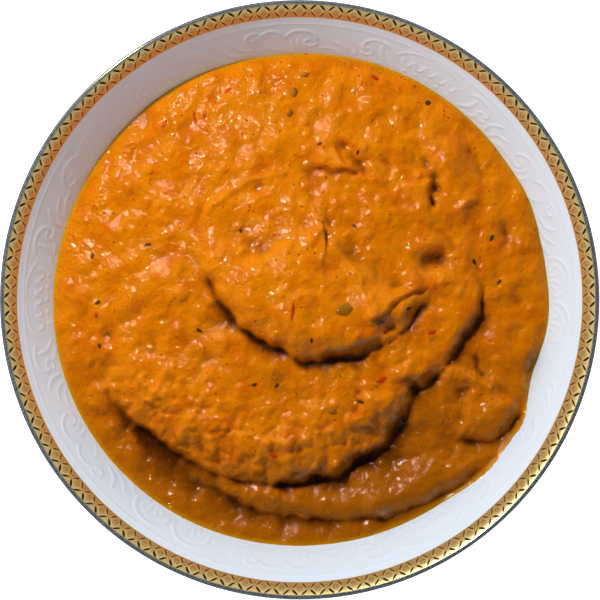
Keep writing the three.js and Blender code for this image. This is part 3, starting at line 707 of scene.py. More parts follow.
def bowl_rings(height_scale):
    """All rings of the bowl, from the floor's middle up the wall, over the edge and down."""
    rings = [ring_points(0, BOWL_HEIGHT - FLOOR_DEPTH, 1)]
    for radius, height in floor_bend(0, 8):
        rings.append(ring_points(radius, height, OUTER_SIDES // 2))
    rings += relief_rings(height_scale)
    for radius, height in lip_curve(np.linspace(1, 0, BAND_STEPS + 1)):
        rings.append(ring_points(radius, height, WALL_SIDES))
    centre = BOWL_RADIUS - EDGE_ROUNDING
    for angle in np.radians(np.linspace(112.5, -45, 8)):
        radius = centre + EDGE_ROUNDING * math.cos(angle)
        height = BOWL_HEIGHT - EDGE_ROUNDING * (1 - math.sin(angle))
        rings.append(ring_points(radius, height, WALL_SIDES))
    back = (
        LIP_FOOT["radius"] + WALL_THICKNESS * math.sin(WALL_SLOPE),
        BOWL_HEIGHT - LIP_FOOT["depth"] - WALL_THICKNESS * math.cos(WALL_SLOPE),
    )
    start = (rings[-1][0, 0], rings[-1][0, 2])
    for share in (0.35, 0.7, 1.0):
        radius, height = (a + (b - a) * share for a, b in zip(start, back))
        rings.append(ring_points(radius, height, OUTER_SIDES))
    for radius, height in reversed(floor_bend(WALL_THICKNESS, 20)):
        if radius > FOOT_OUTER + FOOT_ROUNDING:
            rings.append(ring_points(radius, height, OUTER_SIDES))
    bend = FLOOR_BEND + WALL_THICKNESS
    joint = bend - math.sqrt(bend ** 2 - (FOOT_OUTER - FLOOR_RADIUS) ** 2)
    rings.append(ring_points(FOOT_OUTER, BOWL_HEIGHT - FLOOR_DEPTH - WALL_THICKNESS + joint, OUTER_SIDES))
    for sign, radius in ((1, FOOT_OUTER), (-1, FOOT_INNER)):
        corner = radius - sign * FOOT_ROUNDING
        for degrees in ((0, 30, 60, 90) if sign > 0 else (90, 60, 30, 0)):
            angle = math.radians(degrees)
            rings.append(ring_points(
                corner + sign * FOOT_ROUNDING * math.cos(angle),
                FOOT_ROUNDING * (1 - math.sin(angle)), OUTER_SIDES,
            ))
    underside = BOWL_HEIGHT - FLOOR_DEPTH - FLOOR_THICKNESS
    rings.append(ring_points(FOOT_INNER - FOOT_ROUNDING, underside, OUTER_SIDES))
    rings.append(ring_points(FOOT_INNER / 2, underside, OUTER_SIDES // 4))
    rings.append(ring_points(0, underside, 1))
    return rings


# -------------------------------------------------------------------------------- materials


def new_material(name, color, roughness, metallic=0.0, **sockets):
    """A Principled material and its shader."""
    material = bpy.data.materials.new(name)
    material.use_nodes = True
    material.diffuse_color = (*color, 1)
    shader = material.node_tree.nodes["Principled BSDF"]
    shader.inputs["Base Color"].default_value = (*color, 1)
    shader.inputs["Roughness"].default_value = roughness
    shader.inputs["Metallic"].default_value = metallic
    for socket, value in sockets.items():
        shader.inputs[socket.replace("_", " ")].default_value = value
    return material, shader


def new_tree(name, kind, inputs, output):
    """An empty node group, and its input sockets' identifiers by name."""
    tree = bpy.data.node_groups.new(name, kind)
    sockets = {
        socket: tree.interface.new_socket(socket, in_out="INPUT", socket_type="NodeSocket" + kind)
        for socket, kind in inputs.items()
    }
    for socket, kind in output.items():
        tree.interface.new_socket(socket, in_out="OUTPUT", socket_type="NodeSocket" + kind)
    return tree, {socket: made.identifier for socket, made in sockets.items()}


def node(kind, values=(), **attributes):
    """One row of a node table: its type, its inputs' values and its attributes."""
    return kind, dict(values), attributes


def add_nodes(tree, table, wires):
    """Adds the nodes of a table and joins them: from, its output, to, its input."""
    nodes = {}
    for name, (kind, values, attributes) in table.items():
        nodes[name] = tree.nodes.new(kind)
        for attribute, value in attributes.items():
            setattr(nodes[name], attribute, value)
        for socket, value in values.items():
            nodes[name].inputs[socket].default_value = value
    for start, output, end, socket in wires:
        tree.links.new(nodes[start].outputs[output], nodes[end].inputs[socket])
    return nodes


def mottle_group():
    """Shader group: two colours mixed in soft patches over the object."""
    group, _ = new_tree(
        "Mottled colour", "ShaderNodeTree",
        {"Color": "Color", "Patch Color": "Color", "Scale": "Float", "Amount": "Float"}, {"Color": "Color"})
    add_nodes(group, {
        "inputs": node("NodeGroupInput"),
        "output": node("NodeGroupOutput"),
        "place": node("ShaderNodeTexCoord"),
        "noise": node("ShaderNodeTexNoise", {"Detail": 4, "Roughness": 0.6}),
        "ramp": node("ShaderNodeMapRange", {"From Min": 0.42, "From Max": 0.66},
                     interpolation_type="SMOOTHSTEP"),
        "mix": node("ShaderNodeMix", data_type="RGBA"),
    }, (
        ("place", "Object", "noise", "Vector"),
        ("inputs", "Scale", "noise", "Scale"),
        ("noise", "Fac", "ramp", "Value"),
        ("inputs", "Amount", "ramp", "To Max"),
        ("ramp", "Result", "mix", "Factor"),
        ("inputs", "Color", "mix", "A"),
        ("inputs", "Patch Color", "mix", "B"),
        ("mix", "Result", "output", "Color"),
    ))
    return group


def grain_group():
    """Shader group: a height of fine bumps at two scales."""
    name = "Fine grain"
    if name in bpy.data.node_groups:
        return bpy.data.node_groups[name]
    group, _ = new_tree(
        name, "ShaderNodeTree", {"Scale": "Float", "Coarse": "Float", "Fine": "Float"}, {"Height": "Float"})
    add_nodes(group, {
        "inputs": node("NodeGroupInput"),
        "output": node("NodeGroupOutput"),
        "place": node("ShaderNodeTexCoord"),
        "coarse": node("ShaderNodeTexNoise", {"Detail": 2}),
        "fine": node("ShaderNodeTexNoise", {"Detail": 3}),
        "finer": node("ShaderNodeMath", {1: 3.1}, operation="MULTIPLY"),
        "coarse part": node("ShaderNodeMath", operation="MULTIPLY"),
        "total": node("ShaderNodeMath", operation="MULTIPLY_ADD"),
    }, (
        ("place", "Object", "coarse", "Vector"),
        ("place", "Object", "fine", "Vector"),
        ("inputs", "Scale", "coarse", "Scale"),
        ("inputs", "Scale", "finer", 0),
        ("finer", 0, "fine", "Scale"),
        ("coarse", "Fac", "coarse part", 0),
        ("inputs", "Coarse", "coarse part", 1),
        ("fine", "Fac", "total", 0),
        ("inputs", "Fine", "total", 1),
        ("coarse part", 0, "total", 2),
        ("total", 0, "output", "Height"),
    ))
    return group


def add_group(shader, group, **values):
    """Puts a shader group beside a shader, with its inputs' values."""
    added = shader.id_data.nodes.new("ShaderNodeGroup")
    added.node_tree = group
    for name, value in values.items():
        added.inputs[name.replace("_", " ")].default_value = value
    return added


def add_bump(shader, scale, coarse, fine, distance):
    """Bumps a shader's normal with the fine grain, distance in metres."""
    grain = add_group(shader, grain_group(), Scale=scale, Coarse=coarse, Fine=fine)
    bump = shader.id_data.nodes.new("ShaderNodeBump")
    bump.inputs["Distance"].default_value = distance
    shader.id_data.links.new(grain.outputs["Height"], bump.inputs["Height"])
    shader.id_data.links.new(bump.outputs["Normal"], shader.inputs["Normal"])


def add_mottle(shader, color, patch, scale, amount):
    """Colours a shader in soft patches."""
    mottle = add_group(shader, mottle_group(), Color=(*color, 1), Patch_Color=(*patch, 1),
                       Scale=scale, Amount=amount)
    shader.id_data.links.new(mottle.outputs["Color"], shader.inputs["Base Color"])


def attribute_node(shader, name):
    """The value of a mesh's own mask, beside a shader."""
    mask = shader.id_data.nodes.new("ShaderNodeAttribute")
    mask.attribute_name = name
    return mask.outputs["Fac"]


def darken(shader, name, color):
    """Mixes another colour in where the mesh's own mask says so."""
    links = shader.id_data.links
    mix = shader.id_data.nodes.new("ShaderNodeMix")
    mix.data_type = "RGBA"
    mix.inputs["B"].default_value = (*color, 1)
    links.new(attribute_node(shader, name), mix.inputs["Factor"])
    links.new(shader.inputs["Base Color"].links[0].from_socket, mix.inputs["A"])
    links.new(mix.outputs["Result"], shader.inputs["Base Color"])


# -------------------------------------------------------------------------------- settings


def color_property(name, description, default):
    return bpy.props.FloatVectorProperty(
        name=name, description=description, subtype="COLOR", default=default, min=0, max=1)


class BowlSettings(bpy.types.PropertyGroup):
    relief_height: bpy.props.FloatProperty(
        name="Relief height", description="Height of the carving on the inner wall, against its table",
        default=0.55, min=0.0, max=2.0, subtype="FACTOR")
    cells: bpy.props.IntProperty(
        name="Band cells", description="Number of lozenges round the gilt band", default=CELLS, min=12)
    porcelain_color: color_property("Porcelain", "Colour of the glazed porcelain", (0.81, 0.9, 0.98))
    gold_color: color_property("Gold", "Colour of the gilt band", (0.74, 0.56, 0.26))
    petal_color: color_property("Petals", "Colour of the dark petals on the band", (0.05, 0.036, 0.008))
    line_color: color_property("Lines", "Colour of the band's thin lines", (0.22, 0.12, 0.03))
    edge_color: color_property("Edge", "Colour of the polished edge", (0.085, 0.075, 0.04))


class RelishSettings(bpy.types.PropertyGroup):
    color: color_property("Relish", "Colour of the relish", (0.76, 0.275, 0.003))
    patch_color: color_property("Redder patches", "Colour where there is more tomato", (0.68, 0.2, 0.002))
    # painted shadow of the outer lip
    lip_shadow_color: color_property(
        "Juice", "Colour where juice has run out round the heap", (0.50, 0.18, 0.004))
    # painted shade on the steep faces turned from the key light
    shade_color: color_property(
        "Steep faces", "Colour of the faces turned from the window", (0.34, 0.12, 0.004))
    rim_color: color_property(
        "Oil at the wall", "Colour of the thin oil where the relish meets the wall", (0.66, 0.36, 0.008))
    # painted shade in the valleys
    valley_shade_color: color_property(
        "Valleys", "Colour of the relish where oil stands in the valleys", (0.16, 0.05, 0.002))
    # painted shade down in the creases
    crease_shade_color: color_property("Creases", "Colour down in the creases", (0.07, 0.018, 0.001))
    herb_color: color_property("Herbs", "Colour of the cooked herbs", (0.12, 0.07, 0.008))
    skin_color: color_property("Pepper skin", "Colour of the shreds of red skin", (0.62, 0.085, 0.006))
    pepper_color: color_property("Green pepper", "Colour of the bits of green pepper", (0.37, 0.17, 0.008))
    seeds: bpy.props.IntProperty(
        name="Tiny bits", description="Number of tiny bits for each square decimetre",
        default=1500, min=0)
    seed: bpy.props.IntProperty(name="Seed", description="Seed of the scatter", default=4)


class StudioSettings(bpy.types.PropertyGroup):
    floor_color: color_property("Floor", "Colour of the floor", (0.86, 0.86, 0.86))
    floor_glow: bpy.props.FloatProperty(
        name="Floor glow", description="Light given off by the floor, as by a light table",
        default=0.6, min=0)
    key_power: bpy.props.FloatProperty(
        name="Key power", description="Power of the key light", default=0.94, min=0, unit="POWER")
    key_size: bpy.props.FloatProperty(
        name="Key size", description="Width of the key light", default=0.032, min=0, unit="LENGTH")
    key_distance: bpy.props.FloatProperty(
        name="Key distance", description="From the bowl's foot to the key light",
        default=0.44, unit="LENGTH")
    key_heading: bpy.props.FloatProperty(
        name="Key heading", description="Direction of the key light from above",
        default=math.radians(127), subtype="ANGLE")
    key_elevation: bpy.props.FloatProperty(
        name="Key elevation", description="Height of the key light over the horizon",
        default=math.radians(52), subtype="ANGLE")
    world_strength: bpy.props.FloatProperty(
        name="Room light", description="Strength of the light from all round", default=0.85, min=0)
    camera_height: bpy.props.FloatProperty(
        name="Camera height", description="Height of the camera over the rim", default=0.56, unit="LENGTH")
    lens: bpy.props.FloatProperty(
        name="Lens", description="Focal length on a 36 mm sensor", default=126.08, unit="CAMERA")


# -------------------------------------------------------------------------------- operators


def ride(piece, slot, *nodes):
    """The piece goes with the only body and stands for CAD nodes, which it hides; the slot is not used."""
    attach(piece, "root")
    if nodes:
        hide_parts(*nodes)


class LYUTENITSA_OT_add_bowl(bpy.types.Operator):
    """Adds the porcelain bowl with the relief on its inner wall"""
    bl_idname = "lyutenitsa.add_bowl"
    bl_label = "Porcelain bowl"

    def execute(self, context):
        settings = context.scene.lyutenitsa_bowl
        glaze, _ = new_material(
            "Porcelain glaze", settings.porcelain_color, 0.16, Coat_Weight=0.5, Coat_Roughness=0.06)
        points, triangles = stitched_rings(bowl_rings(settings.relief_height))
        ride(add_mesh(context, "porcelain_bowl", points, triangles, glaze), "porcelain", "bowl")
        return {"FINISHED"}


def repeat_tree():
    """Geometry Nodes: one cell repeated round the bowl."""
    tree, sockets = new_tree(
        "Repeat round the bowl", "GeometryNodeTree",
        {"Geometry": "Geometry", "Count": "Int", "Material": "Material"}, {"Geometry": "Geometry"})
    add_nodes(tree, {
        "inputs": node("NodeGroupInput"),
        "output": node("NodeGroupOutput"),
        "points": node("GeometryNodePoints"),
        "index": node("GeometryNodeInputIndex"),
        "share": node("ShaderNodeMath", operation="DIVIDE"),
        "turn": node("ShaderNodeMath", {1: 2 * math.pi}, operation="MULTIPLY"),
        "rotation": node("ShaderNodeCombineXYZ"),
        "instance": node("GeometryNodeInstanceOnPoints"),
        "realize": node("GeometryNodeRealizeInstances"),
        "finish": node("GeometryNodeSetMaterial"),
    }, (
        ("inputs", "Count", "points", "Count"),
        ("index", "Index", "share", 0),
        ("inputs", "Count", "share", 1),
        ("share", 0, "turn", 0),
        ("turn", 0, "rotation", "Z"),
        ("points", 0, "instance", "Points"),
        ("inputs", "Geometry", "instance", "Instance"),
        ("rotation", "Vector", "instance", "Rotation"),
        ("instance", "Instances", "realize", "Geometry"),
        ("realize", "Geometry", "finish", "Geometry"),
        ("inputs", "Material", "finish", "Material"),
        ("finish", "Geometry", "output", "Geometry"),
    ))
    return tree, sockets


def settle(context, piece, tree, values):
    """Runs a Geometry Nodes tree on a piece and keeps the result as its plain mesh."""
    modifier = piece.modifiers.new(tree.name, "NODES")
    modifier.node_group = tree
    for identifier, value in values.items():
        modifier[identifier] = value
    context.view_layer.update()
    graph = context.evaluated_depsgraph_get()
    mesh = bpy.data.meshes.new_from_object(
        piece.evaluated_get(graph), preserve_all_data_layers=True, depsgraph=graph)
    piece.modifiers.remove(modifier)
    old = piece.data
    piece.data = mesh
    mesh.name = piece.name
    bpy.data.meshes.remove(old)
    if not mesh.polygons:
        raise RuntimeError(f"{piece.name} came out empty")
    return piece


def petal(centre, half_length, half_breadth, angle, turn_scale, steps=6):
    """A pointed leaf on the band: points over it and its triangles, domed along its middle."""
    u0, v0 = centre
    c, s = math.cos(angle), math.sin(angle)
    points, triangles = [], []
    for k in range(steps + 1):
        along = -1 + 2 * k / steps
        breadth = half_breadth * math.cos(math.pi / 2 * abs(along) ** PETAL_POINT)
        for across, lift in ((-1, 0.0), (0, 1.0), (1, 0.0)):
            du = along * half_length * c - across * breadth * s
            dv = along * half_length * s + across * breadth * c
            height = INLAY_EDGE + (INLAY_LIFT - INLAY_EDGE) * lift
            points.append(lip_point((u0 + du) * turn_scale, v0 + dv, height))
    for k in range(steps):
        a, b = 3 * k, 3 * k + 3
        for near in (0, 1):
            triangles += [(a + near, b + near, b + near + 1), (a + near, b + near + 1, a + near + 1)]
    return points, triangles


def petal_pair(kind, turn_scale):
    """Two petals that lean to each other, either side of a cell's border."""
    return [
        petal((kind["across"] * side, kind["down"]), kind["half_length"], kind["half_breadth"],
              math.atan2(kind["slant"] * side, 1), turn_scale)
        for side in (-1, 1)
    ]


def cell_lines(turn_scale):
    """The thin lines of a cell: two lozenges, one in the other, and two bars."""
    strokes = []
    for size in LOZENGES:
        corners = [(size, 0), (0, LOZENGE_HEIGHT * size), (-size, 0), (0, -LOZENGE_HEIGHT * size)]
        strokes += [(corners[k], corners[(k + 1) % 4]) for k in range(4)]
    strokes += [((place, -BAR_REACH), (place, BAR_REACH)) for place in BARS]
    leaves = []
    for (ua, va), (ub, vb) in strokes:
        middle = ((ua + ub) / 2, 0.5 + (va + vb) / 2)
        length = math.hypot(ub - ua, vb - va) / 2
        leaves.append(petal(middle, length, LINE_BREADTH, math.atan2(vb - va, ub - ua), turn_scale, 4))
    return leaves


def joined(leaves):
    """Points and triangles of several leaves, as one mesh."""
    points, triangles = [], []
    for leaf_points, leaf_triangles in leaves:
        triangles += [tuple(len(points) + k for k in t) for t in leaf_triangles]
        points += leaf_points
    return points, triangles


class LYUTENITSA_OT_add_gilding(bpy.types.Operator):
    """Adds the gilt band with its ornament and the polished edge"""
    bl_idname = "lyutenitsa.add_gilding"
    bl_label = "Gilt band and edge"

    def execute(self, context):
        settings = context.scene.lyutenitsa_bowl
        gold, shader = new_material("Gilt band", settings.gold_color, 0.38, 0.55)
        add_bump(shader, 900, 0.5, 0.5, 0.00004)
        edge, _ = new_material("Polished edge", settings.edge_color, 0.14, 1.0)
        petals, _ = new_material("Band petals", settings.petal_color, 0.35, 0.6)
        lines, _ = new_material("Band lines", settings.line_color, 0.35, 0.8)
        turns = np.arange(WALL_SIDES) * 2 * math.pi / WALL_SIDES
        rings = [
            lip_point(turns, np.full(WALL_SIDES, share), GILT_LIFT)
            for share in np.linspace(0, 1, BAND_STEPS + 1)[::-1]
        ]
        ride(add_mesh(context, "gilt_band", *stitched_rings(rings), gold), "porcelain")
        rings = [lip_point(turns, np.full(WALL_SIDES, 0.0), GILT_LIFT)]
        for angle in np.radians(np.linspace(110, -30, 10)):
            radius = min(BOWL_RADIUS - EDGE_ROUNDING + EDGE_ROUNDING * math.cos(angle), BOWL_RADIUS)
            height = BOWL_HEIGHT - EDGE_ROUNDING * (1 - math.sin(angle))
            rings.append(ring_points(radius, height, WALL_SIDES))
        ride(add_mesh(context, "polished_edge", *stitched_rings(rings), edge), "porcelain")
        tree, sockets = repeat_tree()
        turn_scale = 2 * math.pi / settings.cells
        for name, leaves, material in (
            ("band_petals", petal_pair(BROW_PETAL, turn_scale), petals),
            ("band_lines", petal_pair(FOOT_PETAL, turn_scale) + cell_lines(turn_scale), lines),
        ):
            cell = add_mesh(context, name, *joined(leaves))
            settle(context, cell, tree, {sockets["Count"]: settings.cells, sockets["Material"]: material})
            ride(cell, "porcelain")
        return {"FINISHED"}


class LYUTENITSA_OT_add_relish(bpy.types.Operator):
    """Adds the heaped relish with its folds and grain"""
    bl_idname = "lyutenitsa.add_relish"
    bl_label = "Relish"

    def execute(self, context):
        settings = context.scene.lyutenitsa_relish
        relish, shader = new_material(
            "Relish", settings.color, 0.09, Specular_IOR_Level=0.24, Coat_Roughness=0.2, Coat_IOR=1.6,
            Subsurface_Weight=0.08, Subsurface_Radius=(1.0, 0.35, 0.1), Subsurface_Scale=0.001)
        add_mottle(shader, settings.color, settings.patch_color, 160, 0.8)
        # masks mixed into the base colour: painted shadow of the outer lip, painted shade on faces turned
        # from the key light, painted shade in the valleys and creases, and the oil at the wall
        for name, color in (("juice", settings.lip_shadow_color), ("steep", settings.shade_color),
                            ("valley", settings.valley_shade_color), ("crease", settings.crease_shade_color),
                            ("rim", settings.rim_color)):
            darken(shader, name, color)
        add_bump(shader, 1100, 0.8, 0, 0.00034)
        # the faces with painted shade also take the glossy coat
        shader.id_data.links.new(attribute_node(shader, "steep"), shader.inputs["Coat Weight"])
        rings = [np.array([[0, 0, relish_height(np.zeros(1), np.zeros(1))[0]]])]
        for k in range(1, FOOD_RINGS + 1):
            direction = np.arange(6 * k) * 2 * math.pi / (6 * k)
            radius = (edge_radius(direction) + FOOD_SEAT) * k / FOOD_RINGS
            x, y = radius * np.cos(direction), radius * np.sin(direction)
            rings.append(np.stack([x, y, relish_height(x, y)], 1))
        for radius, height in reversed(floor_bend(-FOOD_GAP, 6)):
            rings.append(ring_points(radius, height, UNDERSIDE_SIDES))
        rings.append(ring_points(0, BOWL_HEIGHT - FLOOR_DEPTH + FOOD_GAP, 1))
        points, triangles = stitched_rings(rings)
        piece = add_mesh(context, "relish", points, triangles, relish)
        top = sum(len(ring) for ring in rings[:FOOD_RINGS + 1])
        x, y = points[:top, 0], points[:top, 1]
        # painted shadow of the outer lip
        masks = {"juice": juice(x, y)}
        # painted shade in the valleys and creases, where the relish lies below its smoothed surface
        for name, place in (("valley", VALLEY_SHADE), ("crease", CREASE_SHADE)):
            below, _, _ = smoothed_surface(x, y, place["breadth"])
            masks[name] = smoothstep(below, place["low"], place["high"])
        # painted shade on faces that slope away from the key light's heading
        _, slope_x, slope_y = smoothed_surface(x, y, STEEP_SHADE["breadth"])
        heading = math.radians(STEEP_SHADE["heading"])
        away = slope_x * math.cos(heading) + slope_y * math.sin(heading)
        masks["steep"] = smoothstep(away, STEEP_SHADE["low"], STEEP_SHADE["high"])
        from_edge = edge_radius(np.arctan2(y, x)) - np.hypot(x, y)
        masks["rim"] = RIM_OIL["strength"] * np.exp(-((from_edge / RIM_OIL["breadth"]) ** 2))
        for name, mask in masks.items():
            values = np.concatenate([mask, np.zeros(len(points) - top)])
            piece.data.attributes.new(name, "FLOAT", "POINT").data.foreach_set("value", values)
        ride(piece, "relish", "lyutenitsa")
        return {"FINISHED"}


def surface_at(x, y):
    """The relish's height and upward normal at places."""
    step = 0.25
    height = relish_height(x, y)
    dx = (relish_height(x + step, y) - relish_height(x - step, y)) / (2 * step)
    dy = (relish_height(x, y + step) - relish_height(x, y - step)) / (2 * step)
    normal = np.stack([-dx, -dy, np.ones_like(dx)], -1)
    return height, normal / np.linalg.norm(normal, axis=-1, keepdims=True)


def draped_bits(bits, thickness, seed, sides=14):
    """Irregular flat scraps that lie on the relish, as one skin."""
    draw = np.random.RandomState(seed)
    xs, ys, lifts, triangles = [], [], [], []
    for x, y, length, breadth, turn in bits:
        first = len(xs)
        wobble = 1 + 0.16 * draw.uniform(-1, 1, sides)
        c, s = math.cos(math.radians(turn)), math.sin(math.radians(turn))
        shares = ((0, 1.0), (0.6, 0.95), (0.92, 0.5), (1.0, -0.6))
        for share, lift in shares:
            count = 1 if share == 0 else sides
            for k in range(count):
                angle = 2 * math.pi * k / sides
                u = share * length / 2 * math.cos(angle) * wobble[k]
                v = share * breadth / 2 * math.sin(angle) * wobble[k]
                xs.append(x + u * c - v * s)
                ys.append(y + u * s + v * c)
                lifts.append(lift * thickness)
        starts = (first, first + 1, first + 1 + sides, first + 1 + 2 * sides)
        counts = (1, sides, sides, sides)
        for k in range(3):
            triangles.append(ring_triangles(starts[k], counts[k], starts[k + 1], counts[k + 1]))
    height, normal = surface_at(np.array(xs), np.array(ys))
    points = np.stack([xs, ys, height], -1) + normal * np.array(lifts)[:, None]
    return points, np.concatenate(triangles)


def scatter_tree():
    """Geometry Nodes: small bits strewn over the upper side of a surface."""
    tree, sockets = new_tree(
        "Strewn bits", "GeometryNodeTree",
        {"Geometry": "Geometry", "Surface": "Object", "Density": "Float", "Seed": "Int",
         "Material": "Material"},
        {"Geometry": "Geometry"})
    add_nodes(tree, {
        "inputs": node("NodeGroupInput"),
        "output": node("NodeGroupOutput"),
        "surface": node("GeometryNodeObjectInfo"),
        "normal": node("GeometryNodeInputNormal"),
        "upward": node("ShaderNodeSeparateXYZ"),
        "above": node("FunctionNodeCompare", {"B": STREW_UPWARD},
                      data_type="FLOAT", operation="GREATER_THAN"),
        "strew": node("GeometryNodeDistributePointsOnFaces"),
        "spin": node("FunctionNodeRandomValue", {1: (0, 0, 2 * math.pi)}, data_type="FLOAT_VECTOR"),
        "turn": node("FunctionNodeRotateRotation", rotation_space="LOCAL"),
        "size": node("FunctionNodeRandomValue", {2: 0.5, 3: 1.3}, data_type="FLOAT"),
        "instance": node("GeometryNodeInstanceOnPoints"),
        "realize": node("GeometryNodeRealizeInstances"),
        "finish": node("GeometryNodeSetMaterial"),
    }, (
        ("inputs", "Surface", "surface", "Object"),
        ("surface", "Geometry", "strew", "Mesh"),
        ("normal", "Normal", "upward", "Vector"),
        ("upward", "Z", "above", "A"),
        ("above", "Result", "strew", "Selection"),
        ("inputs", "Density", "strew", "Density"),
        ("inputs", "Seed", "strew", "Seed"),
        ("strew", "Points", "instance", "Points"),
        ("strew", "Rotation", "turn", "Rotation"),
        ("spin", 0, "turn", "Rotate By"),
        ("turn", "Rotation", "instance", "Rotation"),
        ("size", 1, "instance", "Scale"),
        ("inputs", "Geometry", "instance", "Instance"),
        ("instance", "Instances", "realize", "Geometry"),
        ("realize", "Geometry", "finish", "Geometry"),
        ("inputs", "Material", "finish", "Material"),
        ("finish", "Geometry", "output", "Geometry"),
    ))
    return tree, sockets


class LYUTENITSA_OT_add_bits(bpy.types.Operator):
    """Adds the herbs, red skin and green pepper on the relish, and the tiny bits strewn over it"""
    bl_idname = "lyutenitsa.add_bits"
    bl_label = "Herbs, skin and pepper"

    def execute(self, context):
        settings = context.scene.lyutenitsa_relish
        if "relish" not in bpy.data.objects:
            raise RuntimeError("add the relish first")
        herb, _ = new_material("Cooked herb", settings.herb_color, 0.5, Specular_IOR_Level=0.15)
        skin, _ = new_material("Red skin", settings.skin_color, 0.3, Specular_IOR_Level=0.3)
        pepper, _ = new_material("Green pepper", settings.pepper_color, 0.25, Specular_IOR_Level=0.3)
        for name, bits, thickness, material, seed in (
            ("herb_bits", HERB_BITS, 0.12, herb, 1),
            ("pepper_bits", PEPPER_BITS, 0.35, pepper, 2),
            ("skin_bits", SKIN_BITS, 0.18, skin, 3),
        ):
            points, triangles = draped_bits(bits, thickness, seed)
            ride(add_mesh(context, name, points, triangles, material), "relish")
        tree, sockets = scatter_tree()
        for name, material, share, seed, length, breadth in (
            ("tiny_herbs", herb, 0.03, 0, 0.55, 0.3),
            ("tiny_skins", skin, 0.2, 1, 0.8, 0.35),
        ):
            points, triangles = self.crumb(length, breadth, 0.1)
            bit = add_mesh(context, name, points, triangles)
            settle(context, bit, tree, {
                sockets["Surface"]: bpy.data.objects["relish"],
                sockets["Density"]: settings.seeds * share / 0.01,
                sockets["Seed"]: settings.seed + seed,
                sockets["Material"]: material,
            })
            ride(bit, "relish")
        return {"FINISHED"}

    def crumb(self, length, breadth, thickness):
        """A small closed lens with a few faces."""
        direction = np.arange(6) * math.pi / 3
        rim = np.stack([length / 2 * np.cos(direction), breadth / 2 * np.sin(direction), 0 * direction], 1)
        points = np.concatenate([[[0, 0, thickness]], rim, [[0, 0, -thickness]]])
        triangles = np.concatenate([ring_triangles(0, 1, 1, 6), ring_triangles(1, 6, 7, 1)])
        return points, triangles


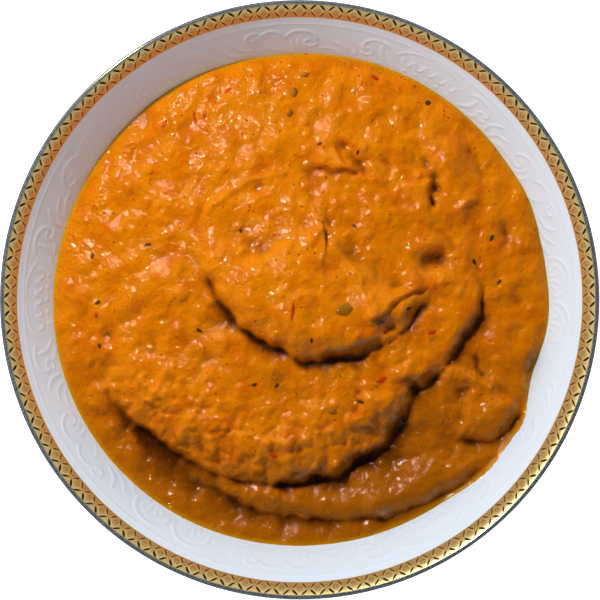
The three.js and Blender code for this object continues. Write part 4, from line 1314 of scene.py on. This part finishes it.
class LYUTENITSA_OT_add_studio(bpy.types.Operator):
    """Adds the pale floor, the soft lights and the camera that looks straight down"""
    bl_idname = "lyutenitsa.add_studio"
    bl_label = "Floor, lights and camera"

    def execute(self, context):
        settings = context.scene.lyutenitsa_studio
        scene = context.scene
        scene.view_settings.view_transform = "Standard"
        scene.view_settings.look = "High Contrast"
        floor_material, _ = new_material(
            "Pale floor", settings.floor_color, 0.8, Emission_Color=(0.97, 0.985, 1.0, 1),
            Emission_Strength=settings.floor_glow)
        corners = [(FLOOR_REACH * x, FLOOR_REACH * y, 0) for x, y in ((-1, -1), (1, -1), (1, 1), (-1, 1))]
        floor = add_mesh(context, "floor", corners, [(0, 1, 2), (0, 2, 3)], floor_material)
        # its glow would drown the bowl's white outside
        floor.visible_diffuse = False
        heading, elevation = settings.key_heading, settings.key_elevation
        direction = Vector((
            math.cos(heading) * math.cos(elevation),
            math.sin(heading) * math.cos(elevation),
            math.sin(elevation),
        ))
        light = bpy.data.lights.new("Key light", "AREA")
        light.shape = "DISK"
        light.size = settings.key_size
        light.energy = settings.key_power
        light.color = (1.0, 0.985, 0.97)
        lamp = bpy.data.objects.new("Key light", light)
        lamp.location = direction * settings.key_distance
        lamp.rotation_euler = (-direction).to_track_quat("-Z", "Y").to_euler()
        lamp.visible_camera = False
        scene.collection.objects.link(lamp)
        world = bpy.data.worlds.new("Room")
        scene.world = world
        world.use_nodes = True
        tree = world.node_tree
        background = tree.nodes["Background"]
        background.inputs["Strength"].default_value = settings.world_strength
        ramp = add_nodes(tree, {
            "place": node("ShaderNodeTexCoord"),
            "split": node("ShaderNodeSeparateXYZ"),
            "height": node("ShaderNodeMapRange", {"From Min": -1}),
            "ramp": node("ShaderNodeValToRGB"),
        }, (
            ("place", "Generated", "split", "Vector"),
            ("split", "Z", "height", "Value"),
            ("height", "Result", "ramp", "Fac"),
        ))["ramp"]
        stops = ramp.color_ramp.elements
        stops[0].color = (*ROOM_STOPS[0][1], 1)
        stops[1].color = (*ROOM_STOPS[-1][1], 1)
        for share, color in ROOM_STOPS[1:-1]:
            stops.new(share).color = (*color, 1)
        tree.links.new(ramp.outputs["Color"], background.inputs["Color"])
        camera = bpy.data.cameras.new("Camera")
        camera.lens = settings.lens
        camera.sensor_width = 36
        camera.clip_start = 0.01
        view = bpy.data.objects.new("Camera", camera)
        view.location = (*CAMERA_SHIFT, CAD_HIGH.z + settings.camera_height)
        scene.collection.objects.link(view)
        scene.camera = view
        return {"FINISHED"}


class LYUTENITSA_PT_panel(bpy.types.Panel):
    """Lists the pieces of the bowl of lyutenitsa and their settings"""
    bl_idname = "LYUTENITSA_PT_panel"
    bl_label = "Bowl of lyutenitsa"
    bl_space_type = "VIEW_3D"
    bl_region_type = "UI"
    bl_category = "Lyutenitsa"

    def draw(self, context):
        layout = self.layout
        for group, operators in (
            (context.scene.lyutenitsa_bowl, (LYUTENITSA_OT_add_bowl, LYUTENITSA_OT_add_gilding)),
            (context.scene.lyutenitsa_relish, (LYUTENITSA_OT_add_relish, LYUTENITSA_OT_add_bits)),
            (context.scene.lyutenitsa_studio, (LYUTENITSA_OT_add_studio,)),
        ):
            box = layout.box()
            for name in group.__annotations__:
                box.prop(group, name)
            for operator in operators:
                box.operator(operator.bl_idname)


CLASSES = (
    BowlSettings,
    RelishSettings,
    StudioSettings,
    LYUTENITSA_OT_add_bowl,
    LYUTENITSA_OT_add_gilding,
    LYUTENITSA_OT_add_relish,
    LYUTENITSA_OT_add_bits,
    LYUTENITSA_OT_add_studio,
    LYUTENITSA_PT_panel,
)
SETTINGS = {
    "lyutenitsa_bowl": BowlSettings,
    "lyutenitsa_relish": RelishSettings,
    "lyutenitsa_studio": StudioSettings,
}


def register():
    for cls in CLASSES:
        bpy.utils.register_class(cls)
    for name, group in SETTINGS.items():
        setattr(bpy.types.Scene, name, bpy.props.PointerProperty(type=group))


def unregister():
    for name in SETTINGS:
        delattr(bpy.types.Scene, name)
    for cls in reversed(CLASSES):
        bpy.utils.unregister_class(cls)


def main():
    register()
    bpy.ops.lyutenitsa.add_bowl()
    bpy.ops.lyutenitsa.add_gilding()
    bpy.ops.lyutenitsa.add_relish()
    bpy.ops.lyutenitsa.add_bits()
    bpy.ops.lyutenitsa.add_studio()


if __name__ == "__main__":
    main()
